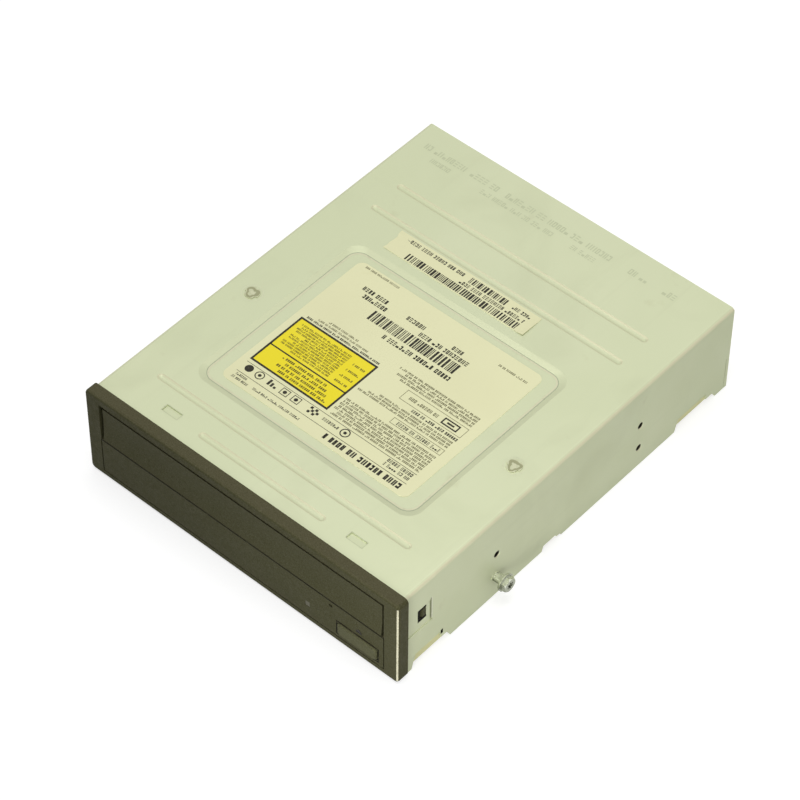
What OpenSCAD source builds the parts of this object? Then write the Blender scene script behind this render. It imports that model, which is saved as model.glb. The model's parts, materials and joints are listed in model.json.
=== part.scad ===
// Half-height optical disc drive for a 5.25 inch bay, with its tray closed.
// Depths are measured from the face of the bezel and heights from the underside.
// The finished part stands with the middle of its underside at the origin.

/* [Case] */
// Width of the steel case
case_w = 146; // [144:0.5:148]
// Height of the steel case
case_h = 41.4; // [41:0.1:43]
// Whole depth, from the face of the bezel to the back edge of the case
drive_d = 184; // [182:0.5:190]
// Thickness of the steel sheet
sheet = 0.8; // [0.6:0.05:1]
// Outer radius of the folds along the case
fold_r = 1.6; // [1.2:0.1:2.4]
// Gap between pieces that sit in each other
gap = 0.3; // [0.2:0.05:0.4]
// Height of the back wall's lower edge
back_edge_z = 15.8; // [15.4:0.1:20]

/* [Top cover pressings] */
// Width of a stiffening bead
bead_w = 3; // [2:0.1:4]
// Depth of a stiffening bead
bead_deep = 0.6; // [0.3:0.05:0.8]
// Depth position and half length of each bead
bead_rows = [[12.2, 29.5], [22.5, 59.5], [135.8, 59.5], [150.3, 59.5]]; // [0:0.1:180]
// Width of the recess for the label
recess_w = 103.6; // [98:0.2:105]
// Front edge of the recess for the label
recess_y = 31; // [29:0.5:34]
// Length of the recess for the label
recess_l = 87.7; // [80:0.1:92]
// Depth of the recess for the label
recess_deep = 0.8; // [0.4:0.05:0.9]
// Corner radius of the recess for the label
recess_r = 6.5; // [4:0.5:9]
// Width of the sloping edge of the recess
recess_slope = 2.3; // [1:0.1:3]
// Width and length of the two small pockets near the front
pocket_size = [7.2, 2.9]; // [2:0.1:10]
// Sideways and depth position of the two small pockets
pocket_at = [43.5, 13]; // [10:0.5:60]
// Depth of the two small pockets
pocket_deep = 0.5; // [0.3:0.1:0.6]

/* [Side features] */
// Depth positions of the side screw holes
hole_rows = [52.4, 131.6]; // [50:0.1:134]
// Heights of the side screw holes
hole_heights = [9.93, 21.84]; // [9:0.01:23]
// Bore of a threaded hole
thread_d = 2.6; // [2.5:0.1:3]
// Outer diameter of the drawn collar behind a threaded hole
collar_d = 4.4; // [3.8:0.1:4.6]
// Length of the drawn collar behind the sheet
collar_l = 1; // [0.5:0.1:1.4]
// Sideways position of the screw holes in the underside
base_hole_x = 69.85; // [69:0.05:70]
// Start, end, height and end slope of each cut-out in the lower side edge
edge_cuts = [[8, 28.3, 6.6, 1.9], [77.7, 88.4, 2.5, 0.7], [153.1, 177.1, 5.6, 1.6]]; // [0:0.1:184]
// Share of a cut-out's length that is stepped down at its back end
cut_step = 0.24; // [0.1:0.02:0.4]
// Height of the side walls of the bottom cover
flange_h = 7; // [6:0.2:7.2]
// Depth position of the latch window in the side
window_y = 11.2; // [10:0.1:13]
// Length of the latch window
window_l = 4.4; // [3:0.1:5]
// Height of the latch window above the underside
window_z = 22.2; // [20:0.1:24]
// Height of the latch window
window_h = 6.4; // [4:0.1:7]
// How far the pressed pad round the window reaches beyond it
pad_reach = [3, 3.9, 1.1]; // [1:0.1:5]
// Depth of the pressed pad
pad_deep = 0.3; // [0.1:0.05:0.4]

/* [Underside] */
// Width of the dimple round a bottom screw
dimple_d = 9; // [8:0.5:11]
// Depth of the dimple round a bottom screw
dimple_deep = 1.4; // [1.3:0.1:1.5]
// Sideways position of the bottom screws, and their distance from the front and the back
boss_in = [62.5, 24, 37]; // [20:0.5:66]
// Width of the raised pads that carry the circuit board
stand_d = 8; // [7:0.5:9]
// Height of the circuit board's underside
board_z = 2.6; // [2.4:0.1:2.8]
// Sideways position of the circuit board's screws, and their distances from the back
board_screw_in = [52, 74, 24]; // [20:0.5:76]

/* [Bezel] */
// Width of the bezel
bezel_w = 148; // [146:0.2:150]
// Height of the bezel
bezel_h = 41.6; // [40.6:0.1:42.4]
// Height of the bezel's lower edge above the underside
bezel_lift = 0.2; // [0:0.05:0.4]
// Thickness of the bezel
bezel_t = 5; // [4.6:0.1:5.6]
// Rounding of the bezel's front edges
edge_round = 0.9; // [0.4:0.1:1.4]
// Corner radius of the bezel
corner_r = 1; // [0.5:0.1:2]
// Thickness of the bezel's moulded wall
wall = 2.2; // [1.8:0.1:2.4]
// Width of the tray opening
mouth_w = 134.6; // [133.8:0.1:136]
// Height of the tray opening
mouth_h = 18.1; // [17.8:0.1:18.6]
// Height of the tray opening's lower edge
mouth_z = 20.1; // [19.8:0.1:20.2]
// Width and depth of the line round the lower panel
line_w = 0.5; // [0.3:0.1:0.8]
// Height of the line along the bottom of the lower panel
line_z = 2.8; // [2:0.1:4]
// Middle of the emergency eject hole, sideways and in height
pinhole_at = [42.95, 17.4]; // [16:0.05:44]
// Diameter of the emergency eject hole
pinhole_d = 1.5; // [1:0.1:2]
// Middle of the indicator window, sideways and in height
lamp_at = [32, 9.3]; // [8:0.1:34]
// Size of the indicator window
lamp_size = [2.2, 2.6]; // [2:0.1:4]

/* [Button] */
// Middle of the eject button, sideways and in height
button_at = [55.25, 8.15]; // [7:0.05:57]
// Width and height of the eject button
button_size = [18.1, 5.9]; // [5:0.1:19]
// How far the button stands out of the bezel
button_out = 0.7; // [0.3:0.1:1.2]
// Travel of the button
button_travel = 0.8; // [0.5:0.1:0.9]
// Corner radius of the button
button_r = 1.2; // [0.6:0.1:2]

/* [Tray] */
// Gap between the door and the sides of the opening
door_gap = 1.2; // [0.6:0.1:1.6]
// Thickness of the door
door_t = 3; // [2.6:0.1:3.4]
// How far the top of the door leans back
door_lean = 0.5; // [0:0.1:0.8]
// Height of the tray's underside
tray_z = 23; // [22.9:0.05:23.1]
// Width of the tray between its rails
tray_w = 126; // [124.6:0.2:126.4]
// Distance of the tray's back edge from the back of the case
tray_in = 21; // [20:0.5:23]
// Height of the tray's rim above its underside
rim_h = 6; // [5.4:0.1:6.1]
// Thickness of the tray under a large disc
floor_t = 2.5; // [2.2:0.1:2.6]
// Step down from the large disc's seat to the small disc's
small_step = 1.1; // [0.6:0.1:1.2]
// Recess for a large disc
large_d = 121.6; // [121:0.1:122.4]
// Recess for a small disc
small_d = 81; // [80.6:0.1:82]
// Thickness of the tray's hollow walls
tray_wall = 2; // [1.6:0.1:2.2]
// Width of the slot for the turntable and the lens
slot_w = 40; // [38:0.5:41]
// Distance of the slot's back end from the tray's back edge
slot_in = 16; // [13:0.5:17]
// Width of the low part behind the disc
low_w = 48; // [44:1:56]
// Width, height and lift of a tray rail
rail_size = [2.9, 2.7, 1]; // [1:0.1:3]
// Height of the wall behind the door
door_wall_h = 12; // [8:0.5:13]
// Distance that the tray slides out
tray_travel = 140; // [130:1:142]

/* [Loading gears] */
// Pressure angle of the teeth
press_angle = 20; // [18:1:22]
// Free play between meshing teeth
backlash = 0.16; // [0.1:0.02:0.24]
// Tooth module of the gear that drives the rack
rack_module = 1; // [0.9:0.05:1.05]
// Teeth of the gear that drives the rack
rack_teeth = 20; // [18:1:21]
// Tooth module of the reduction gears
fine_module = 0.8; // [0.7:0.05:0.85]
// Teeth of the large reduction gear
large_teeth = 34; // [30:1:34]
// Teeth of the small reduction gear
small_teeth = 16; // [15:1:17]
// Place of the drive gear's post
gear_at = [-36, 22]; // [-38:0.5:24]
// Direction from the drive gear to the pulley gear
train_angle = -8; // [-12:1:-4]
// Face width of the rack
rack_face = 2.2; // [1.8:0.1:2.4]
// Root radius of the large pulley's groove
wheel_r = 10.4; // [9:0.1:11]
// Root radius of the motor pulley's groove
nose_r = 2.8; // [2.4:0.1:3.4]
// Thickness of the square belt
belt_t = 1.2; // [1:0.1:1.4]
// Place of the loading motor
motor_at = [16, 20]; // [14:0.5:22]
// Diameter of the loading motor
motor_d = 24; // [20:0.5:24.4]
// Diameter of the posts that the gears turn on
post_d = 4; // [3:0.1:4.4]
// Radial running clearance of everything that turns on a post
running = 0.06; // [0.04:0.01:0.09]

/* [Loader] */
// Thickness of the loader's side walls
rail_wall = 1.8; // [1.4:0.1:2]
// Height of the loader's side walls
rail_wall_z = [8, 30]; // [7:0.5:31]
// Thickness of the loader's decks
deck_t = 2; // [1.6:0.1:2.4]
// Height of the top of the front deck
deck_z = 12.4; // [12.2:0.1:12.6]
// Outer diameter of the screw bosses
boss_d = 7; // [6.4:0.1:7.6]
// Thickness of the lips that guide the tray
lip_t = 1.2; // [0.9:0.1:1.3]
// Depth position of the cam slider
slider_y = 44; // [43.8:0.1:44.4]
// Thickness of the cam slider
slider_t = 2.4; // [2:0.1:2.6]
// Travel of the cam slider
slider_travel = 12; // [11:0.5:13]
// Sideways position of the lifting pins
lift_pin_x = 16; // [15:0.5:17]
// Diameter of the lifting pins and of the slider's guide pin
cam_pin_d = 3; // [2.6:0.1:3.2]
// Sideways position of the slider's guide pin
guide_pin_x = 34.5; // [34:0.5:36]

/* [Pickup unit] */
// Depth position of the disc's middle
spindle_y = 73.7; // [73:0.1:74.4]
// Height of the turntable's seat when the pickup unit is raised
seat_z = 27.4; // [27.2:0.1:27.6]
// Angle that the pickup unit swings down by
drop_angle = 5.2; // [5:0.1:5.4]
// Distance of the pickup unit's hinge from the back, and its height
hinge_in = [26, 14]; // [13:0.5:27]
// Diameter of the hinge pins
hinge_d = 5; // [4:0.1:5.4]
// Half width of the sub-chassis
sub_half = 57; // [56.5:0.1:57.2]
// Distances of the sub-chassis from the front and the back
sub_in = [50, 20]; // [19:0.5:51]
// Height of the sub-chassis' underside
sub_z = 12; // [11.8:0.1:12.2]
// Thickness of the sub-chassis
sub_t = 3; // [2.6:0.1:3.2]
// Width of the side bars of the sub-chassis
sub_bar = 10.5; // [10:0.1:10.8]
// Height of the lifting pins when the pickup unit is raised
lift_pin_z = 16.8; // [16.6:0.1:17]
// Underside of the steel base plate
base_z = 16.3; // [16.1:0.1:16.4]
// Thickness of the steel base plate
base_t = 1.2; // [1:0.1:1.3]
// Half width of the steel base plate
base_half = 45; // [44.6:0.1:45.4]
// Sideways position of the rubber dampers
damper_x = 51.5; // [51:0.1:52]
// Distances of the rubber dampers from the sub-chassis' front and back edges
damper_in = [12, 14]; // [10:0.5:15]
// Outer diameter of a rubber damper
damper_d = 9; // [8:0.1:9.4]
// Height of a rubber damper
damper_h = 3.8; // [3.4:0.1:4]
// Diameter of the turntable
table_d = 29; // [28:0.1:30]
// Diameter of the hub that centres the disc
hub_d = 14.9; // [14.6:0.05:15]
// Height of the hub above the seat
hub_h = 2.2; // [1.8:0.1:2.3]
// Diameter of the rotor cup
rotor_d = 27; // [24:0.5:27.4]
// Sideways position of the guide rods
rod_x = 27; // [26.6:0.1:27.4]
// Diameter of the guide rods
rod_d = 3; // [2.4:0.1:3.2]
// Height of the guide rods
rod_z = 19.6; // [19.4:0.1:19.8]
// Distance from the disc's middle to the lens at its inner limit
lens_in = 23; // [22.6:0.1:24]
// Travel of the pickup head
feed_travel = 35; // [33:0.5:35.5]
// Diameter of the objective lens
lens_d = 5; // [4:0.1:6]
// Free travel of the lens up and down
lens_travel = 0.4; // [0.3:0.05:0.5]
// Sideways position and height of the lead screw
lead_at = [-38.5, 17]; // [-40:0.5:18]
// Diameter of the lead screw
lead_d = 3; // [2.6:0.1:3.2]
// Diameter of the feed motor
feed_motor_d = 10.4; // [9:0.1:10.6]

/* [Clamper] */
// Height of the clamper's face when it hangs from its bridge
clamp_z = 28; // [27.9:0.05:28.2]
// Diameter of the clamper
clamp_d = 31; // [29:0.5:33]
// Diameter of the hole that the clamper hangs in
bridge_hole_d = 27; // [26:0.5:28]
// Height of the bridge's steel
bridge_z = 33; // [32.6:0.1:34]
// Thickness of the bridge's steel
bridge_t = 1; // [0.8:0.1:1.2]
// Width of the bridge
bridge_w = 34; // [32:1:40]
// Sideways position of the riveted studs
stake_x = 62; // [61:0.5:64]
// Diameter of a riveted stud's head
stake_d = 6; // [5:0.2:7]
// Height of a riveted stud's head
stake_h = 0.35; // [0.2:0.05:0.5]

/* [Labels] */
// Left, front, right and back edge of the main label
label_edges = [-44, 37.7, 43.3, 112.8]; // [-46:0.1:114]
// Left, front, right and back edge of the small label
strip_edges = [-42.3, 122.6, 24.5, 133.6]; // [-46:0.1:135]
// Thickness of a label
paper = 0.12; // [0.08:0.01:0.2]

/* [Side screw] */
// Diameter of the screw's shoulder
shoulder_d = 3.9; // [3.4:0.1:4.4]
// Length of the screw's shoulder
shoulder_l = 3.6; // [2:0.1:5]
// Diameter of the screw's flange
flange_d = 7.4; // [6.6:0.1:8]
// Thickness of the screw's flange
flange_t = 0.9; // [0.6:0.1:1.2]
// Width across the flats of the screw's head
hex_w = 5.4; // [4.5:0.1:6]
// Height of the screw's hexagon
hex_h = 2; // [1.5:0.1:3]

/* [Connectors] */
// Thickness of a circuit board
board_t = 1.6; // [1.2:0.1:1.7]
// Spacing of the contact pins
pitch = 2.54; // [2.54:0.01:2.56]
// Thickness of a contact pin
pin_w = 0.64; // [0.5:0.02:0.7]
// Left and right edge of the data connector
data_x = [-41, 17]; // [-42:0.5:18]
// Height of the data connector
data_h = 9; // [8:0.2:10]
// Left and right edge of the power connector
power_x = [-66, -43]; // [-67:0.5:-42]
// Height of the power connector
power_h = 11; // [10:0.2:11.2]
// Left and right edge of the mode jumper block
jumper_x = [20.4, 28.6]; // [20:0.1:29]
// Left and right edge of the analogue sound connector
sound_x = [31, 43]; // [31:0.5:44]
// Left and right edge of the digital sound connector
digital_x = [45, 52]; // [44:0.5:53]

/* [Colours] */
// Steel of the case
steel = "#CFD3B0"; // ["#CFD3B0":Warm, "#C9CBC8":Neutral]
// Black plastic of the loader
black = "#2A2822"; // ["#2A2822":Warm, "#242424":Neutral]
// Plastic of the bezel
bezel_colour = "#514E3E"; // ["#514E3E":Warm, "#3A3A38":Neutral]
// Paper of the labels
cream = "#E4E2B8"; // ["#E4E2B8":Warm, "#EDEDE6":White]
// White plastic of the gears
white_plastic = "#D9D6C8"; // ["#D9D6C8":Warm, "#E6E6E4":White]

/* [Hidden] */
$fn = 64;

little = 0.01;
half_w = case_w / 2;
inner_half = half_w - sheet;
inner_top = case_h - sheet;
cover_y0 = bezel_t + 0.1;
mouth_half = mouth_w / 2;
mouth_top = mouth_z + mouth_h;
door_half = mouth_half - door_gap;
tray_half = tray_w / 2;
tray_back = drive_d - tray_in;
slot_end = tray_back - slot_in;
rim_z = tray_z + rim_h;
seat_floor = tray_z + floor_t;
rail_half = tray_half + rail_size[0];
wall_in = rail_half + gap;
wall_out = wall_in + rail_wall;
board_top = board_z + board_t;
back_face = drive_d;
boss_at = [[boss_in[0], boss_in[1]], [boss_in[0], drive_d - boss_in[2]]];
board_screw_at = [for (i = [1, 2]) [board_screw_in[0], drive_d - board_screw_in[i]]];
hinge_at = [drive_d - hinge_in[0], hinge_in[1]];
sub_edges = [sub_half, sub_in[0], drive_d - sub_in[1]];
damper_rows = [sub_edges[1] + damper_in[0], sub_edges[2] - damper_in[1]];

// Gear train: pitch radii, places and heights
rack_r = rack_module * rack_teeth / 2;
large_r = fine_module * large_teeth / 2;
small_r = fine_module * small_teeth / 2;
pulley_at = gear_at + (large_r + small_r) * [cos(train_angle), sin(train_angle)];
rack_x = gear_at[0] - rack_r;
rack_z = tray_z - rack_face;
wheel_z = deck_z + gap;
wheel_h = 3;
fine_z = wheel_z + wheel_h + gap;
fine_h = 3;
rack_gear_top = tray_z - gap;
belt_z = wheel_z + wheel_h / 2;

// Swing of the pickup unit, and the lifting pins before and after it
function swung(y, z) = hinge_at
    + [(y - hinge_at[0]) * cos(drop_angle) - (z - hinge_at[1]) * sin(drop_angle),
       (y - hinge_at[0]) * sin(drop_angle) + (z - hinge_at[1]) * cos(drop_angle)];
slider_mid = slider_y + slider_t / 2;
pin_low = swung(slider_mid, lift_pin_z)[1];

base_top = base_z + base_t;
lens_y = spindle_y + lens_in;
window_half = sub_half - sub_bar;

// Moves a piece from the face of the bezel to the middle of the drive
module placed() { translate([0, -drive_d / 2, 0]) children(); }

// Swings a piece of the pickup unit down about its hinge
module lowered() {
    translate([0, hinge_at[0], hinge_at[1]]) rotate([drop_angle, 0, 0])
        translate([0, -hinge_at[0], -hinge_at[1]]) children();
}

// Box between two corners
module block(low, high) { translate(low) cube(high - low); }

// Upright bar
module post(at, z0, z1, d) { translate([at[0], at[1], z0]) cylinder(d = d, h = z1 - z0); }

// Bar along the depth
module rod(x, z, y0, y1, d) { translate([x, y1, z]) rotate([90, 0, 0]) cylinder(d = d, h = y1 - y0); }

// Outline in width and height, drawn out along the depth
module along_y(y0, y1) { translate([0, y1, 0]) rotate([90, 0, 0]) linear_extrude(y1 - y0) children(); }

// Outline in depth and height, drawn out along the width
module along_x(x0, x1) { translate([x0, 0, 0]) rotate([90, 0, 90]) linear_extrude(x1 - x0) children(); }

// Copies a piece to the other side of the middle
module both_sides() { for (side = [0, 1]) mirror([side, 0, 0]) children(); }

// Rectangle with round corners, about its middle
module round_rect(w, h, r) {
    square([w - 2 * r, h], center = true);
    square([w, h - 2 * r], center = true);
    for (x = [-1, 1], y = [-1, 1]) translate([x * (w / 2 - r), y * (h / 2 - r)]) circle(r);
}

// Flat round-cornered sheet between edges given as left, front, right and back
module sheet_patch(edges, r, z, t) {
    translate([(edges[0] + edges[2]) / 2, (edges[1] + edges[3]) / 2, z]) linear_extrude(t)
        round_rect(edges[2] - edges[0], edges[3] - edges[1], r);
}

// Cross-section that is round at its two upper corners
module arch(half, height, r) {
    translate([-half, 0]) square([2 * half, height - r]);
    translate([-half + r, 0]) square([2 * (half - r), height]);
    for (side = [-1, 1]) translate([side * (half - r), height - r]) circle(r);
}

// Bead pressed into the top, as the round tool that makes it
bead_r = (bead_w * bead_w / 4 + bead_deep * bead_deep) / (2 * bead_deep);
module bead_tool(row, r) {
    translate([0, row[0], case_h - bead_deep + bead_r]) {
        rotate([0, 90, 0]) cylinder(r = r, h = 2 * row[1] - bead_w, center = true);
        for (side = [-1, 1]) translate([side * (row[1] - bead_w / 2), 0, 0]) sphere(r);
    }
}

// Sloping recess for the label, grown by some amount
module recess_tool(grow, top) {
    middle = recess_y + recess_l / 2;
    hull() {
        translate([0, middle, case_h - recess_deep - grow]) linear_extrude(little)
            round_rect(recess_w - 2 * recess_slope + grow, recess_l - 2 * recess_slope + grow,
                recess_r - recess_slope / 2);
        translate([0, middle, top]) linear_extrude(little)
            round_rect(recess_w + grow, recess_l + grow, recess_r);
    }
}

// Cut-out in the lower edge of a side wall
module edge_cut(cut) {
    length = cut[1] - cut[0];
    step = cut[1] - cut_step * length;
    polygon([[cut[0], -1], [cut[0], 0], [cut[0] + cut[3], cut[2]], [step, cut[2]],
        [step, cut[2] / 2], [cut[1] - cut[3], cut[2] / 2], [cut[1], 0], [cut[1], -1]]);
}

// The four threaded side holes' places on one side
module at_side_holes() { for (y = hole_rows, z = hole_heights) translate([half_w, y, z]) children(); }

// Collar drawn inwards from a threaded hole, and the hole itself with its worn mouth
module side_collar() { rotate([0, -90, 0]) cylinder(d = collar_d, h = sheet + collar_l); }
module side_bore() {
    mouth = 0.35;
    rotate([0, -90, 0]) translate([0, 0, -1]) cylinder(d = thread_d, h = sheet + collar_l + 2);
    rotate([0, -90, 0]) cylinder(d1 = thread_d + 2 * mouth, d2 = thread_d, h = mouth);
}

// Folded steel top and sides of the case
module top_cover() placed() color(steel) difference() {
    union() {
        difference() {
            along_y(cover_y0, drive_d) arch(half_w, case_h, fold_r);
            along_y(cover_y0 - 1, drive_d - sheet) translate([0, -1]) arch(inner_half, inner_top + 1,
                fold_r - sheet);
            block([-half_w, drive_d - sheet - 1, -1], [half_w, drive_d + 1, back_edge_z]);
            block([-inner_half, drive_d - 2 * sheet, -1], [inner_half, drive_d - sheet, inner_top]);
        }
        both_sides() block([inner_half, drive_d - 2 * sheet, 0], [half_w, drive_d, back_edge_z + 1]);
        intersection() {
            for (row = bead_rows) bead_tool(row, bead_r + sheet);
            block([-half_w, 0, inner_top - 2], [half_w, drive_d, inner_top + little]);
        }
        intersection() {
            recess_tool(sheet, inner_top + little);
            block([-half_w, 0, inner_top - 2], [half_w, drive_d, inner_top + little]);
        }
        both_sides() {
            at_side_holes() side_collar();
            block([pocket_at[0] - pocket_size[0] / 2 - sheet, pocket_at[1] - pocket_size[1] / 2 - sheet,
                inner_top - pocket_deep], [pocket_at[0] + pocket_size[0] / 2 + sheet,
                pocket_at[1] + pocket_size[1] / 2 + sheet, inner_top + little]);
            block([inner_half - pad_deep, cover_y0, window_z - pad_reach[1]],
                [inner_half + little, window_y + window_l + pad_reach[0],
                    window_z + window_h + pad_reach[2]]);
        }
    }
    for (row = bead_rows) bead_tool(row, bead_r);
    recess_tool(0, case_h + little);
    both_sides() {
        block([pocket_at[0] - pocket_size[0] / 2, pocket_at[1] - pocket_size[1] / 2, case_h - pocket_deep],
            [pocket_at[0] + pocket_size[0] / 2, pocket_at[1] + pocket_size[1] / 2, case_h + 1]);
        post([stake_x, spindle_y], inner_top - 1, case_h + 1, stake_d - 1);
        along_x(half_w - 2, half_w + 1) for (cut = edge_cuts) edge_cut(cut);
        at_side_holes() side_bore();
        block([half_w - 2, window_y, window_z], [half_w + 1, window_y + window_l, window_z + window_h]);
        block([half_w - pad_deep, cover_y0 - 1, window_z - pad_reach[1]],
            [half_w + 1, window_y + window_l + pad_reach[0], window_z + window_h + pad_reach[2]]);
    }
}

// Flat steel bottom with low side walls
base_half_w = inner_half - gap;
base_y = [bezel_t + 0.4, drive_d - sheet];
latch_x = 63;
latch_w = 7;
latch_nub = [8, 10.4];
back_gate = [-66.6, 53];
back_wall_h = back_edge_z - gap;
module bottom_cover() placed() color(steel) difference() {
    union() {
        difference() {
            along_y(base_y[0], base_y[1]) translate([0, flange_h]) mirror([0, 1]) arch(base_half_w,
                flange_h, fold_r);
            along_y(base_y[0] - 1, base_y[1] + 1) translate([0, flange_h + 1]) mirror([0, 1])
                arch(base_half_w - sheet, flange_h + 1 - sheet, fold_r - sheet);
            both_sides() for (y = hole_rows)
                block([base_hole_x - collar_d / 2, y - collar_d, sheet], [half_w, y + collar_d,
                    flange_h + 1]);
        }
        both_sides() {
            for (at = boss_at) post(at, 0, sheet + dimple_deep, dimple_d + 2 * sheet);
            for (at = board_screw_at) post(at, 0, board_z, stand_d);
            for (y = hole_rows) post([base_hole_x, y], 0, sheet + collar_l,
                2 * (base_half_w - base_hole_x));
        }
        difference() {
            block([-base_half_w, base_y[1] - sheet, 0], [base_half_w, drive_d, back_wall_h]);
            block([-half_w, base_y[1] - sheet - 1, sheet], [half_w, base_y[1], drive_d]);
            block([back_gate[0], base_y[1] - 1, board_z + little], [back_gate[1], drive_d + 1, drive_d]);
        }
    }
    both_sides() {
        for (at = boss_at) {
            post(at, -1, dimple_deep, dimple_d);
            post(at, -1, board_z + 1, 3.2);
        }
        for (at = board_screw_at) {
            post(at, -1, board_z - sheet, stand_d - 2 * sheet);
            post(at, -1, board_z + 1, thread_d);
        }
        for (y = hole_rows) post([base_hole_x, y], -1, board_z + 1, thread_d);
        block([latch_x - latch_w / 2 - gap, latch_nub[0] - gap, -1],
            [latch_x + latch_w / 2 + gap, latch_nub[1] + gap, sheet + 1]);
    }
}

// Moulded front with the tray opening, button opening and latches
bezel_mid = bezel_lift + bezel_h / 2;
arm_x = [69.4, 71.2];
cavity_half = mouth_half - 0.8;
module bezel_blank() {
    hull() for (step = [[0, edge_round], [0.3 * edge_round, 0.3 * edge_round], [edge_round, 0]])
        along_y(step[0], bezel_t) translate([0, bezel_mid])
            round_rect(bezel_w - 2 * step[1], bezel_h - 2 * step[1], corner_r + edge_round - step[1],
                $fn = 32);
}
module front_bezel() placed() color(bezel_colour) {
    difference() {
        bezel_blank();
        block([-mouth_half, -1, mouth_z], [mouth_half, bezel_t + 1, mouth_top]);
        block([-cavity_half, wall, bezel_lift + wall], [cavity_half, bezel_t + 1, mouth_z - wall + 0.4]);
        both_sides() block([mouth_half - line_w / 2, -1, line_z], [mouth_half + line_w / 2, line_w,
            mouth_z + little]);
        block([-mouth_half, -1, line_z], [mouth_half, line_w, line_z + line_w]);
        along_y(-1, bezel_t + 1) {
            translate(button_at) round_rect(button_size[0] + 2 * gap, button_size[1] + 2 * gap,
                button_r + gap);
            translate(lamp_at) square(lamp_size, center = true);
            translate(pinhole_at) circle(d = pinhole_d);
        }
    }
    both_sides() {
        block([arm_x[0], bezel_t - little, window_z - 2], [arm_x[1], window_y + window_l + 1,
            window_z + window_h + 1]);
        latch_hook();
        block([pocket_at[0] - 5, bezel_t - little, mouth_top - 0.2],
            [pocket_at[0] + 5, pocket_at[1] + 4, inner_top - pocket_deep - gap]);
        block([latch_x - latch_w / 2, bezel_t - little, sheet + gap],
            [latch_x + latch_w / 2, latch_nub[1] + 1.6, board_z - little]);
        block([latch_x - latch_w / 2, latch_nub[0], gap], [latch_x + latch_w / 2, latch_nub[1],
            sheet + gap + little]);
    }
}

// Hook of a side latch, sloping up towards its catch
module latch_hook() {
    translate([0, 0, window_z + gap]) linear_extrude(window_h - 2 * gap)
        polygon([[arm_x[1] - little, window_y + window_l - gap], [half_w - pad_deep,
            window_y + window_l - gap],
            [half_w - pad_deep, window_y + window_l - 1.6], [arm_x[1] - little, window_y + gap]]);
}

// Door clipped to the front of the tray, with a shallow scoop and a ledge along its top
door_z = [mouth_z + 0.35, mouth_top - 0.35];
door_ledge = 1.5;
module tray_door() placed() color(bezel_colour) difference() {
    along_x(-door_half, door_half) polygon(concat(
        [[door_t, door_z[0]]],
        [for (i = [0:8]) let (t = i / 8, z = door_z[0] + t * (door_z[1] - door_ledge - door_z[0]))
            [door_lean * t + 0.35 * sin(180 * t), z]],
        [[door_lean + 0.5, door_z[1] - door_ledge], [door_lean + 1.1, door_z[1]], [door_t, door_z[1]]]));
    block([-door_half + 3, door_t - 0.9, door_z[0] + 2], [door_half - 3, door_t + 1, door_z[1] - 3]);
}

// Rack tooth spaces and the tray's underside ribs
function rack_point(s, d) = [rack_x + d, s];
module rack() {
    y0 = door_t + 6;
    count = floor((tray_back - 1 - y0) / (PI * rack_module));
    half_tooth = PI * rack_module / 4 - backlash / 2;
    slope = tan(press_angle);
    first = gear_at[1] + PI * rack_module * (0.5 - floor((gear_at[1] - y0) / (PI * rack_module)));
    root = 1.25 * rack_module;
    translate([0, 0, rack_z]) linear_extrude(rack_face + little) {
        translate([rack_x - root - 3, y0]) square([3, tray_back - y0]);
        for (k = [0:count - 1]) translate([0, first + k * PI * rack_module])
            polygon([rack_point(-half_tooth - root * slope, -root - little),
                rack_point(-half_tooth + rack_module * slope, rack_module),
                rack_point(half_tooth - rack_module * slope, rack_module),
                rack_point(half_tooth + root * slope, -root - little)]);
    }
}
groove_half = cam_pin_d / 2 + 0.4;
rib_t = 1.2;
rib_z = tray_z - 2.1;
groove_end = guide_pin_x + slider_travel;
module pin_groove() {
    x = guide_pin_x;
    y = slider_mid;
    block([x - groove_half - rib_t, y - groove_half - rib_t, rib_z], [x - groove_half, tray_back,
        tray_z + little]);
    block([x + groove_half, y + groove_half, rib_z], [x + groove_half + rib_t, tray_back, tray_z + little]);
    block([x - groove_half - rib_t, y - groove_half - rib_t, rib_z],
        [groove_end + groove_half + rib_t, y - groove_half, tray_z + little]);
    block([x + groove_half, y + groove_half, rib_z],
        [groove_end + groove_half + rib_t, y + groove_half + rib_t, tray_z + little]);
    block([groove_end + groove_half, y - groove_half - rib_t, rib_z],
        [groove_end + groove_half + rib_t, y + groove_half + rib_t, tray_z + little]);
}

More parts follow.
